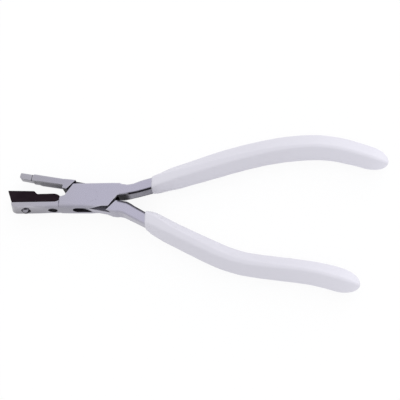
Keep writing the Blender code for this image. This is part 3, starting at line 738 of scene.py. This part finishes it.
screws, drills = {}, []
for name, (at, head, bore, depth, rise) in SCREWS.items():
    under_head = BELLY_Y + depth - PAD_PLAY
    length = SEAT_Y + PAD_PLAY + SCREW_BITE - under_head
    profile = screw_profile(head, length, rise)
    screw = turned(name + "_steel", profile, at, under_head, screw_marks(profile, depth < HEAD_HEIGHT))
    groove_x = np.array([at - DRIVER_REACH, at + DRIVER_REACH])
    groove_y = under_head - HEAD_HEIGHT - rise + DRIVER_SLOT[1]
    groove = slab("groove", groove_x, groove_y - OVERSHOOT, groove_y, DRIVER_SLOT[0] / 2, CRISP, CRISP)
    join_or_cut(screw, groove, "DIFFERENCE")
    screws[name] = screw
    drills.append((drill_profile(length, bore, depth), at, under_head))
    # the drill's dark mark paints the inside of the bore with shade
    join_or_cut(fixed_half, turned("drill", *drills[-1], grime_and_shade=1.0), "DIFFERENCE")
print("screws", list(screws), "fixed half now", len(fixed_half.data.polygons), "faces")

# %% [markdown]
# ## The other half
#
# The moving forging is four shapes in one: the bar of the upper jaw with the block at its root, its narrow
# tip, a thin web that passes through the box, and the lower handle. Each is a slab, and unions make them
# one. First come the bar and the block, which has the same slanted shoulder as the box.

# %% Bar and block
PLAY = 0.15                       # between the slanted shoulders of the two halves
BAR_FRONT_X, BAR_CORNER, BAR_HALF = -26.3, 0.9, 2.3
BAR_SWELL = 0.35                  # how much thicker it gets towards the block
BAR_STOP = 0.08                   # how far it stops before the end of its curves
BLOCK_X, BLOCK_LOW, BLOCK_TOP = -12.75, 0.85, 5.1
BAR_LOW = ((BAR_FRONT_X, 2.1), (BLOCK_X - 0.25, 2.58), (BLOCK_X + 0.05, BLOCK_LOW))
BAR_HIGH = ((BAR_FRONT_X, 4.95), (BLOCK_X - 0.1, 5.05), (BLOCK_X + 0.1, 4.82), (-9.0, BLOCK_TOP))
BAR_THICK = ((BAR_FRONT_X, BAR_HALF), (BLOCK_X - 0.06, BAR_HALF + BAR_SWELL), (BLOCK_X + 0.06, BOX_HALF))
BAR_SAG = ((-23.6, 0.05), (-22.6, 0.32), (BLOCK_X - 0.3, 0.32), (BLOCK_X, 0.0))    # of the far lower edge
# The bar's lower wall is painted darker as shade, most of all by the block.
BAR_WALL = ((BAR_FRONT_X, 0.6), (-20.0, 0.64), (BLOCK_X - 0.7, 0.715), (BLOCK_X - 0.1, 1.0))   # its mark
BAR_EDGES, BAR_END, BAR_EASE = (0.3, 0.35), 0.2, 0.1
BAR_DARKENING = 0.1                   # a slight darkening of its edges and faces

slant = np.array(OUTER) - np.array(INNER)
shift = PLAY * np.hypot(*slant) / abs(slant[1])          # the play, measured along X
shoulder_top = (-OUTER[0] - shift - (BOX_Y - BLOCK_TOP) / slant[1] * abs(slant[0]), BLOCK_TOP)
shoulder_low = (-INNER[0] - shift - (INNER[1] - BLOCK_LOW) / slant[1] * abs(slant[0]), BLOCK_LOW)
bar_x = runs((BAR_FRONT_X, BAR_FRONT_X + 1.2, 0.05), (BAR_FRONT_X + 1.2, BLOCK_X - 0.9, 0.4),
             (BLOCK_X - 0.9, shoulder_top[0] - BAR_STOP, 0.06))
bar_corner = quarter_round(bar_x - BAR_FRONT_X, BAR_CORNER)
bar_low = eased(bar_x, [*BAR_LOW, shoulder_low, shoulder_top]) + bar_corner
bar_high = eased(bar_x, BAR_HIGH) - bar_corner
bar_marks = ring_marks(side_marks(bar_x, through(bar_x, BAR_WALL), BAR_DARKENING, BAR_DARKENING),
                       side_marks(bar_x, 0.0, BAR_DARKENING, BAR_DARKENING))
moving_half = slab("moving_half_steel", bar_x, bar_low, bar_high, eased(bar_x, BAR_THICK, BAR_EASE),
                   *BAR_EDGES, ends=(BAR_END, 0.0), grime_and_shade=bar_marks,
                   back=(bar_low - through(bar_x, BAR_SAG), bar_high, *BAR_EDGES))
print("bar and block from", bar_x[0], "to", round(bar_x[-1], 1), "mm")

# %% [markdown]
# The tip is a narrower bar that grows out of the front of the bar, with a line of painted shade round its
# root and its lower wall painted a little darker as shade. It lies a little towards the far side, as its
# outline shows, so it is made in the middle and then moved.

# %% Tip
TIP_X, TIP_END_X, TIP_HALF = -31.75, -25.6, 1.6
TIP_DROP = 0.4                    # how far the tip lies from the mid-plane, towards the far side
TIP_LOW = ((TIP_X, 2.9), (TIP_X + 0.8, 2.36), (-26.4, 2.3), (TIP_END_X, 2.5))
TIP_HIGH = ((TIP_X, 4.6), (TIP_X + 0.25, 4.88), (-26.7, 4.95), (TIP_END_X, 4.4))
TIP_EDGE, TIP_WALL = 0.3, 0.4
ROOT_LINE_X, ROOT_LINE, TIP_DARKENING = BAR_FRONT_X - 0.32, 0.19, 0.06     # the line of painted shade, its width, and the slight darkening of the rest

tip_x = runs((TIP_X, TIP_X + 1, 0.06), (TIP_X + 1, -27.2, 0.3), (-27.2, TIP_END_X, 0.06))
root_line = TIP_DARKENING + (1 - TIP_DARKENING) * np.exp(-((tip_x - ROOT_LINE_X) / ROOT_LINE) ** 2)
tip_marks = ring_marks(*(side_marks(tip_x, wall, root_line, root_line) for wall in (TIP_WALL, 0.0)))
tip = slab("tip", tip_x, eased(tip_x, TIP_LOW), eased(tip_x, TIP_HIGH), TIP_HALF, TIP_EDGE, TIP_EDGE,
           ends=(TIP_EDGE, 0.0), grime_and_shade=tip_marks)
tip.data.transform(Matrix.Translation((0, 0, -TIP_DROP)))
join_or_cut(moving_half, tip, "UNION")
print("tip from", tip_x[0], "to", tip_x[-1], "mm")

# %% [markdown]
# The web carries the force from the handle to the bar, through the slot. Below, it follows a round hub, and
# from there a straight line that touches the hub runs to the block. Above, it is the same turned by half a
# turn about the pivot. Behind the pivot its belly bulges a little below the box, where light catches it.

# %% Web
WEB_HALF, WEB_EDGE, WEB_END_X = 1.85, 0.1, 11.6
WEB_LOW, WEB_LOW_X = 0.78, -11.5     # its lower edge behind the block, and where that edge starts
HUB_RADIUS, HUB_REACH = 5.0, 2.0     # the round of the web, and how far in front of the pivot its middle lies
WEB_TAIL = ((10.2, -HUB_RADIUS), (10.6, -4.5))     # its lower edge behind the hub's middle
WEB_BELLY = 0.13
WEB_BULGE = ((-1.0, 0.0), (0.5, WEB_BELLY), (9.0, WEB_BELLY), (10.0, 0.0))
WEB_WALL = ((-4.5, 0.95), (-3.0, 0.18))            # painted shade by the block, nearly none behind
# The web's faces are dark, and painted darkest under the block as its shadow.
WEB_FACE = ((-9.0, 1.0), (-8.0, 0.8))

web_x = runs((-WEB_END_X, -HUB_RADIUS, 0.4), (-HUB_RADIUS, HUB_RADIUS, 0.15), (HUB_RADIUS, WEB_END_X, 0.4))
hub = np.sqrt(np.maximum(HUB_RADIUS ** 2 - (web_x + HUB_REACH) ** 2, 0))
away = np.array([shoulder_low[0] + HUB_REACH, WEB_LOW])
bearing = np.arctan2(away[1], away[0]) + np.arccos(HUB_RADIUS / np.hypot(*away))
tangent = (HUB_RADIUS * np.cos(bearing) - HUB_REACH, HUB_RADIUS * np.sin(bearing))
web_front = through(web_x, [(WEB_LOW_X, BLOCK_LOW), (shoulder_low[0], WEB_LOW), tangent])
web_low = np.where(web_x < tangent[0], web_front, -hub)
web_low = np.where(web_x > -HUB_REACH, through(web_x, WEB_TAIL), web_low)
web_face = through(web_x, WEB_FACE)
web_side = side_marks(web_x, through(web_x, WEB_WALL), web_face, web_face)
web = slab("web", web_x, web_low - through(web_x, WEB_BULGE), -web_low[::-1], WEB_HALF, WEB_EDGE, WEB_EDGE,
           grime_and_shade=ring_marks(web_side, web_side))
join_or_cut(moving_half, web, "UNION")
print("the web leaves its hub at", [round(v, 2) for v in tangent])

# %% [markdown]
# The root is the start of the lower handle behind the box, much like the neck of the upper one. Its inner
# edge is raised to a soft crest on the near side only; in the crotch that edge and the inner wall are painted
# dark as shade, the lower wall is painted a little darker as shade too, and the upper edge by the shoulder
# carries a painted highlight. Last, the web gets a bore for the rivet, painted dark inside as shade.

# %% Root of the lower handle
ROOT_SHOULDER = ((7.0, -5.0), (9.4, -1.2), (10.15, -0.25))
ROOT_NECK = ((7.2, -4.75), (8.9, -5.15), (10.8, -5.05), (12.0, -4.75), (13.8, -4.8))
ROOT_NECK_X = 16.5                # where the lower curve of the handle takes over
ROOT_RISE = ((10.5, 0.0), (11.5, 0.15), (14.5, 0.25), (20.0, 0.1), (24.0, 0.0))
INNER_CREST = ((10.4, 0.0), (11.2, 0.2), (13.0, 0.22), (14.5, 0.42), (16.0, 0.28), (18.0, 0.0))
ROOT_CHEEK = ((8.0, BOX_HALF), (9.5, BOX_HALF))    # as thick as the box, before it thins to the handle
ROOT_LOW_EDGE = ((8.0, 0.5), (11.0, 0.8))
ROOT_HIGH_EDGE = ((10.2, 0.25), (11.6, 0.75), (14.5, 0.9), (18.0, 0.75))
# How bright the upper edge is rubbed, with a painted highlight by the shoulder, and how dark the painted
# shade on the lower wall, the inner wall and its edge is.
ROOT_RUB_AND_HIGHLIGHT = ((9.8, 2.5), (10.6, 1.0))
ROOT_BELLY = 0.25
INNER_WALL = ((9.8, 0.0), (10.2, 0.95), (13.4, 0.95), (15.0, 0.45))
INNER_EDGE = ((10.3, 0.0), (11.0, 0.9))
BORE_PLAY = 0.05

root_x = runs((ROOT_SHOULDER[0][0] + SHORT_BY, 14.5, 0.08), (14.5, 30.0, 0.4),
              (30.0, LOWER_KNOTS[-1][0], 1.0))
root_bottom = eased(root_x, np.concatenate([ROOT_NECK, past(root_low, ROOT_NECK_X)]))
root_top = eased(root_x, np.concatenate([ROOT_SHOULDER, past(root_high, NECK_LOW_X)]))
root_top = root_top + eased(root_x, ROOT_RISE)
root_thick = eased(root_x, np.concatenate([ROOT_CHEEK, past(root_half, TANG_X)]))
root_low_edge = eased(root_x, ROOT_LOW_EDGE, EDGE_EASE)
root_high_edge = eased(root_x, ROOT_HIGH_EDGE, EDGE_EASE)
root_marks = ring_marks(side_marks(root_x, ROOT_BELLY, fall=ROOT_BELLY),
                        side_marks(root_x, through(root_x, INNER_WALL), through(root_x, INNER_EDGE)))
root = slab("root", root_x, root_bottom, root_top + eased(root_x, INNER_CREST), root_thick, root_low_edge,
            root_high_edge, handle=hidden_tang(root_x, *lower_handle, LOWER_LEAN), grime_and_shade=root_marks,
            back=(root_bottom, root_top, FAR_EDGE, root_high_edge), rub_and_highlight=(1.0, through(root_x, ROOT_RUB_AND_HIGHLIGHT)))
join_or_cut(moving_half, root, "UNION")
join_or_cut(moving_half, turned("web_bore", rivet_profile(BORE_PLAY, OVERSHOOT), grime_and_shade=1.0), "DIFFERENCE")
print("moving half", len(moving_half.data.polygons), "faces")

# %% [markdown]
# ## The pad
#
# The pad is a slab too: a tall front block that leans forward, a sloping step, a lower rear and a rounded
# heel against the shoulder of the jaw. A box with a cut-out would miss the lean and the heel. The pad sits
# a hair above its seat, and the drills of the two screws go up into it.

# %% Pad
PAD_HALF = 3.0
PAD_TOP, PAD_REAR, PAD_LOW = 2.0, 0.75, SEAT_Y + PAD_PLAY
PAD_FRONT_X, PAD_FOOT_X, PAD_HEEL_X = -34.3, -32.5, HEEL[-1][0] - PAD_PLAY
PAD_CURVE = (
    (PAD_FRONT_X, PAD_TOP + 0.15), (-23.6, PAD_TOP), (-22.3, PAD_REAR),        # front block and step
    (-15.6, PAD_REAR + 0.2), (-14.4, 0.75), (-13.6, 0.4), (-13.15, 0.0),       # rear and heel
    (PAD_HEEL_X, -0.4),
)
PAD_EASE, PAD_EDGES = 0.25, (0.25, 0.3)
PAD_STOPS = (0.15, 0.12)          # how far it stops before the two ends of its curves

pad_heel = [(a - PAD_PLAY, b + PAD_PLAY) for a, b in HEEL]
pad_x = runs((PAD_FRONT_X + PAD_STOPS[0], -31.0, 0.08), (-31.0, -24.6, 0.4), (-24.6, -21.8, 0.06),
             (-21.8, -17.0, 0.4), (-17.0, PAD_HEEL_X - PAD_STOPS[1], 0.05))
pad_bottom = eased(pad_x, [(PAD_FRONT_X, PAD_TOP), (PAD_FOOT_X, PAD_LOW - SEAT_DROP), *pad_heel])
pad = slab("jaw_pad_shell", pad_x, pad_bottom, eased(pad_x, PAD_CURVE, PAD_EASE), PAD_HALF, *PAD_EDGES)
for drill in drills:
    join_or_cut(pad, turned("drill", *drill), "DIFFERENCE")
print("pad", len(pad.data.polygons), "faces")

# %% [markdown]
# ## The dipped grips
#
# A grip is made by dipping the handle into liquid vinyl: a thick even skin with a round lip at the mouth
# and a dome at the end. Solidify on the steel would give the thickness, but neither lip nor dome. So rings
# run up the inside of the skin, over the lip and down the outside, where a soft ridge leans off the middle.
# Both mouths are level in the pose of the photograph, because the tool is dipped with its handles open.

# %% Grips
GRIP_START = LINE_STEPS   # the grips begin at the second knot
GRIP_WALL, GRIP_PLAY = 1.4, 0.15
RIDGE_COAT = 0.75         # the liquid runs off a ridge, which stays sharper than an even coat would leave it
LIP_DEPTH, LIP_STEPS = 0.8, 14
DOME, DOME_ANGLES, DOME_STEPS = 8.58, (4.0, 88.0), 24      # mm, and from where to where in degrees
INSIDE_STEPS, OUTSIDE_STEPS = 40, 130
MOUTH_RUN = 7.0           # mm over which the rings turn from the level mouth to square with the handle
SIDE_STEPS, FACE_STEPS = 9, 9
RIPPLE = 0.035            # mm, unevenness of the dipped skin
LONG_WAVE, SHORT_WAVE = 0.31, 0.83     # of the ripple, radians per mm along the handle


def rippled(ring, along, growth):
    """The outside drawn in a little: each point comes closer to the centre line by ripple * (1 + wave / 2),
    where the wave is the sum of two sines that run along and around the grip. Closer than 1 mm to the line,
    near the end of the dome, that runs out."""
    around = np.linspace(0, 2 * np.pi, ring.shape[1], endpoint=False)
    wave = np.sin(LONG_WAVE * along + 2 * np.sin(around)) + np.sin(SHORT_WAVE * along - 3 * around)
    drawn_in = RIPPLE * (1 + wave / 2) / np.linalg.norm(ring, axis=2).clip(1) * (growth > GRIP_PLAY)
    return ring * (1 - drawn_in)[..., None]


def grip(name, line, heading, size, lean, mouth_turn):
    """Rings of the rolled hexagon along the handle: (distance, growth, shrink) runs up the inside, round the
    lip as half an ellipse, down the outside, and over the dome as a quarter ellipse."""
    way = np.concatenate([[0], np.cumsum(np.hypot(*np.diff(line, axis=0).T))])
    end = way[-1]
    lip = np.linspace(0, np.pi, LIP_STEPS)
    dome = np.radians(np.linspace(*DOME_ANGLES, DOME_STEPS))
    outside = np.linspace(LIP_DEPTH, end, OUTSIDE_STEPS)[1:]
    inside = np.linspace(end + GRIP_PLAY, LIP_DEPTH, INSIDE_STEPS)[:-1]
    along = np.concatenate([inside, LIP_DEPTH * (1 - np.sin(lip)), outside, end + DOME * np.sin(dome)])
    growth = np.concatenate([np.full(len(inside), GRIP_PLAY),
                             GRIP_PLAY + (GRIP_WALL - GRIP_PLAY) * (1 - np.cos(lip)) / 2,
                             np.full(len(outside) + len(dome), GRIP_WALL)])
    shrink = np.concatenate([np.ones(len(along) - len(dome)), np.cos(dome)])
    centre = np.stack([np.interp(along, way, line[:, k]) for k in (0, 1)], 1)
    aim = np.interp(along, way, heading)
    centre += np.maximum(along - end, 0)[:, None] * np.stack([np.cos(aim), np.sin(aim)], 1)
    width, thick = (np.interp(along, way, size[:, k]) for k in (0, 1))
    half = six_sided(centre[:, 0], lean, width + 2 * growth, thick + 2 * growth, TANG_ROUND + growth,
                     TANG_RIDGE + RIDGE_COAT * growth, SIDE_STEPS, FACE_STEPS)
    ring = rippled(close_ring(half, half) * shrink[:, None, None], along[:, None], growth[:, None])
    tilt = mouth_turn + (aim - mouth_turn) * ease_step(np.clip(along / MOUTH_RUN, 0, 1))
    across = ring[..., 0] / np.cos(aim - tilt)[:, None]
    x = centre[:, :1] - across * np.sin(tilt)[:, None]
    y = centre[:, 1:] + across * np.cos(tilt)[:, None]
    return skin(name, np.stack([x, y, ring[..., 1]], axis=-1))


upper_grip = grip("upper_grip_vinyl", *(part[GRIP_START:] for part in upper_handle), UPPER_LEAN, 0.0)
lower_grip = grip("lower_grip_vinyl", *(part[GRIP_START:] for part in lower_handle), LOWER_LEAN, REST_OPENING)
print("grips", len(upper_grip.data.polygons), len(lower_grip.data.polygons), "faces")

# %% [markdown]
# ## Finishes
#
# Three effects serve all the finishes, so each is a node group: a grain that can be drawn out along the
# tool, a mask of the edges that are rubbed bright by use and by painted highlights, and a mask of the places
# that stay dark with oil and with painted shade.

# %% Shader groups
WEAR_PATCHES = (0.35, 0.65, 0.3, 1.0)      # from where to where in the noise, and how worn the edge is there
GRIME_AND_SHADE_UNEVEN = (0.3, 0.85)                 # share of the noise in the dirt and painted shade, and of what is even


def new_group(name, inputs, output):
    """An empty shader group with float inputs, given as (name, default), and one float output."""
    group = bpy.data.node_groups.new(name, "ShaderNodeTree")
    sockets = group.interface
    for socket, value in inputs:
        sockets.new_socket(socket, in_out="INPUT", socket_type="NodeSocketFloat").default_value = value
    sockets.new_socket(output, in_out="OUTPUT", socket_type="NodeSocketFloat")
    return group, group.nodes.new("NodeGroupInput"), group.nodes.new("NodeGroupOutput")


def grain_group():
    """Noise on Object coordinates, with its own scale along X and across it."""
    scales = (("Along", 100.0), ("Across", 1000.0), ("Detail", 3.0))
    group, given, out = new_group("drawn_grain", scales, "Height")
    stretch = group.nodes.new("ShaderNodeCombineXYZ")
    for axis, source in zip("XYZ", ("Along", "Across", "Across")):
        group.links.new(given.outputs[source], stretch.inputs[axis])
    scaled = group.nodes.new("ShaderNodeVectorMath")
    scaled.operation = "MULTIPLY"
    group.links.new(group.nodes.new("ShaderNodeTexCoord").outputs["Object"], scaled.inputs[0])
    group.links.new(stretch.outputs[0], scaled.inputs[1])
    noise = group.nodes.new("ShaderNodeTexNoise")
    noise.inputs["Scale"].default_value = 1.0
    group.links.new(scaled.outputs[0], noise.inputs["Vector"])
    group.links.new(given.outputs["Detail"], noise.inputs["Detail"])
    group.links.new(noise.outputs["Fac"], out.inputs["Height"])
    return group


def mark_and_noise(group, given, mark):
    """The mark that a piece carries on its faces, and noise of the group's scale on Object coordinates."""
    painted = group.nodes.new("ShaderNodeAttribute")
    painted.attribute_name = mark
    noise = group.nodes.new("ShaderNodeTexNoise")
    group.links.new(group.nodes.new("ShaderNodeTexCoord").outputs["Object"], noise.inputs["Vector"])
    group.links.new(given.outputs["Scale"], noise.inputs["Scale"])
    return painted.outputs["Fac"], noise.outputs["Fac"]


def wear_and_highlight_group():
    """The rolled edges, broken up by noise: 1 where the edge is rubbed bright, by wear and by painted
    highlights, 0 on the flats.
    """
    group, given, out = new_group("rubbed_and_highlit_edge", (("Scale", 300.0), ("Amount", 1.0)), "Mask")
    edge, noise = mark_and_noise(group, given, "edge")
    worn_and_highlit = sum_up(group, "MULTIPLY", edge, spread(group, noise, *WEAR_PATCHES))
    group.links.new(sum_up(group, "MULTIPLY", worn_and_highlit, given.outputs["Amount"], clamp=True), out.inputs["Mask"])
    return group


def grime_and_shade_group():
    """Where dirt, dark oil and painted shade are left: the mark painted on the faces, made uneven by noise.
    """
    group, given, out = new_group("dirt_and_painted_shade", (("Scale", 500.0),), "Mask")
    mark, noise = mark_and_noise(group, given, "grime_and_shade")
    uneven = sum_up(group, "MULTIPLY_ADD", noise, *GRIME_AND_SHADE_UNEVEN)
    group.links.new(sum_up(group, "MULTIPLY", mark, uneven, clamp=True), out.inputs["Mask"])
    return group


GRAIN, WEAR_AND_HIGHLIGHT, GRIME_AND_SHADE = grain_group(), wear_and_highlight_group(), grime_and_shade_group()
print("groups", GRAIN.name, WEAR_AND_HIGHLIGHT.name, GRIME_AND_SHADE.name)

# %% [markdown]
# The finishes differ in their numbers, not in their make: a mottled colour, brighter on rubbed edges and
# painted highlights, dark and dull under oil and painted shade, with roughness and relief from the grain.
# So one function makes them all. Values that are the same all over stay on the shader's own sockets, and
# only what changes comes from nodes.

# %% Finish
# colour of oil and of painted shade
GRIME_AND_SHADE_COLOR = (0.014, 0.012, 0.016)
GRIME_AND_SHADE_DULLS = (0.4, 0.9)         # from where to where in the dirt and painted shade the metal stops shining
NOISE_SPAN = (0.3, 0.7)          # where most of a noise lies


def place_group(tree, group, **values):
    """A group node with its inputs set."""
    node = tree.nodes.new("ShaderNodeGroup")
    node.node_tree = group
    for name, value in values.items():
        node.inputs[name].default_value = value
    return node.outputs[0]


def blend_colors(tree, factor, first, second):
    """A Mix node between two colours, each a socket or a fixed (red, green, blue)."""
    node = tree.nodes.new("ShaderNodeMix")
    node.data_type = "RGBA"
    tree.links.new(factor, node.inputs["Factor"])
    for name, color in (("A", first), ("B", second)):
        link(tree, (*color, 1.0) if isinstance(color, tuple) else color, node.inputs[name])
    return node.outputs["Result"]


def finish(name, colors, rough, grain, mottle, bump, wear_and_highlight=0.0, metallic=0.0, specular=0.5, fade=None):
    """A procedural finish. colors are a dark, a light and an edge colour; rough is a range of roughness;
    grain and mottle are (along, across, detail) of the fine and the broad noise; bump is (strength, depth in
    mm); fade is a colour, the x in mm up to which the finish has it, and the x where it has left it."""
    material = bpy.data.materials.new(name)
    material.use_nodes = True
    tree = material.node_tree
    shader = tree.nodes["Principled BSDF"]
    shader.inputs["Specular IOR Level"].default_value = specular
    fine, broad = (place_group(tree, GRAIN, Along=noise[0], Across=noise[1], Detail=noise[2])
                   for noise in (grain, mottle))
    body = blend_colors(tree, spread(tree, broad, *NOISE_SPAN), colors[0], colors[1])
    if fade is not None:
        place = tree.nodes.new("ShaderNodeSeparateXYZ")
        tree.links.new(tree.nodes.new("ShaderNodeTexCoord").outputs["Object"], place.inputs[0])
        body = blend_colors(tree, spread(tree, place.outputs["X"], fade[1] * MM, fade[2] * MM), fade[0], body)
    body = blend_colors(tree, place_group(tree, WEAR_AND_HIGHLIGHT, Amount=wear_and_highlight), body, colors[2])
    grime_and_shade_mask = place_group(tree, GRIME_AND_SHADE)
    tree.links.new(blend_colors(tree, grime_and_shade_mask, body, GRIME_AND_SHADE_COLOR), shader.inputs["Base Color"])
    if metallic > 0:
        tree.links.new(spread(tree, grime_and_shade_mask, *GRIME_AND_SHADE_DULLS, metallic, 0.0), shader.inputs["Metallic"])
    tree.links.new(spread(tree, fine, *NOISE_SPAN, *rough), shader.inputs["Roughness"])
    relief = tree.nodes.new("ShaderNodeBump")
    relief.inputs["Strength"].default_value = bump[0]
    relief.inputs["Distance"].default_value = bump[1] * MM
    tree.links.new(fine, relief.inputs["Height"])
    tree.links.new(relief.outputs["Normal"], shader.inputs["Normal"])
    print("finish", name, len(tree.nodes), "nodes")
    return material


# %% [markdown]
# Satin steel is a metal whose roughness follows fine polishing lines along the tool. A brushed look could
# come from anisotropy, but lines in the roughness also show up close. The jaws are a little darker than
# the rest, and the rolled edges are rubbed bright, with painted highlights on a few edges by the shoulders.

# %% Satin steel
satin_steel = finish(
    "satin_steel", colors=((0.437, 0.423, 0.512), (0.45, 0.436, 0.53), (0.62, 0.61, 0.66)),
    rough=(0.24, 0.28), grain=(80, 3000, 2), mottle=(30, 60, 2), bump=(0.005, 0.01),
    wear_and_highlight=0.8, metallic=1.0, specular=0.02, fade=((0.405, 0.395, 0.43), -38.0, 4.0))

# %% [markdown]
# The screws are turned steel, a little darker than the forgings. Their grain is the same in all directions,
# as no polishing wheel has gone over them along the tool.

# %% Screw steel
screw_steel = finish(
    "screw_steel", colors=((0.33, 0.32, 0.36), (0.37, 0.36, 0.40), (0.42, 0.42, 0.45)),
    rough=(0.24, 0.34), grain=(900, 900, 3), mottle=(200, 200, 2), bump=(0.05, 0.02),
    wear_and_highlight=0.5, metallic=1.0, specular=0.02)

# %% [markdown]
# The pad is a hard dark plastic with a dull skin. Pure black would hide its form, so a trace of red stays
# in it, and its edges are painted a shade lighter, as painted highlights that show their round.

# %% Dark pad
dark_pad = finish(
    "dark_pad", colors=((0.010, 0.004, 0.008), (0.015, 0.008, 0.012), (0.02, 0.014, 0.018)),
    rough=(0.5, 0.65), grain=(900, 900, 4), mottle=(160, 240, 2), bump=(0.15, 0.03),
    wear_and_highlight=0.5, specular=0.08)

# %% [markdown]
# The vinyl is nearly white, cool in the shade, with the faint orange peel of a dipped coat. Light that goes
# into the skin could be traced, but at this thickness it changes little and takes long. Towards the mouths
# the skin is a little greyer.

# %% White vinyl
white_vinyl = finish(
    "white_vinyl", colors=((0.725, 0.715, 0.78), (0.75, 0.74, 0.80), (0.75, 0.74, 0.79)),
    rough=(0.38, 0.5), grain=(420, 420, 2), mottle=(25, 60, 2), bump=(0.08, 0.05),
    specular=0.4, fade=((0.655, 0.645, 0.70), 60.0, 130.0))

# %% [markdown]
# ## Dress the pieces
#
# Each finished piece rides on its half, takes the place of its imported solid and gets its material. The
# table also lists the record's finish of each piece.
# The table below says it all in one place, which is easier to check than a line here and there.

# %% Dress the pieces
DRESS = (
    (fixed_half, "fixed", "fixed_half", "polished_steel", satin_steel),
    (moving_half, "moving", "moving_half", "polished_steel", satin_steel),
    (rivet, "fixed", "pivot_rivet", "polished_steel", satin_steel),
    (pad, "fixed", "jaw_pad", "dark_pad", dark_pad),
    (screws["front_pad_screw"], "fixed", "front_pad_screw", "screw_steel", screw_steel),
    (screws["rear_pad_screw"], "fixed", "rear_pad_screw", "screw_steel", screw_steel),
    (upper_grip, "fixed", "upper_grip", "white_grip", white_vinyl),
    (lower_grip, "moving", "lower_grip", "white_grip", white_vinyl),
)
for piece, half, node, slot_name, material in DRESS:
    settle(piece, half)
    piece.data.materials.clear()
    piece.data.materials.append(material)
    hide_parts(node)

# %% [markdown]
# ## Size of the imported model
#
# The looks must not change the size of the tool, so the box of the imported model is written down.

# %% Size
print("cad box", [[round(c / MM, 2) for c in v] for v in cad_box])
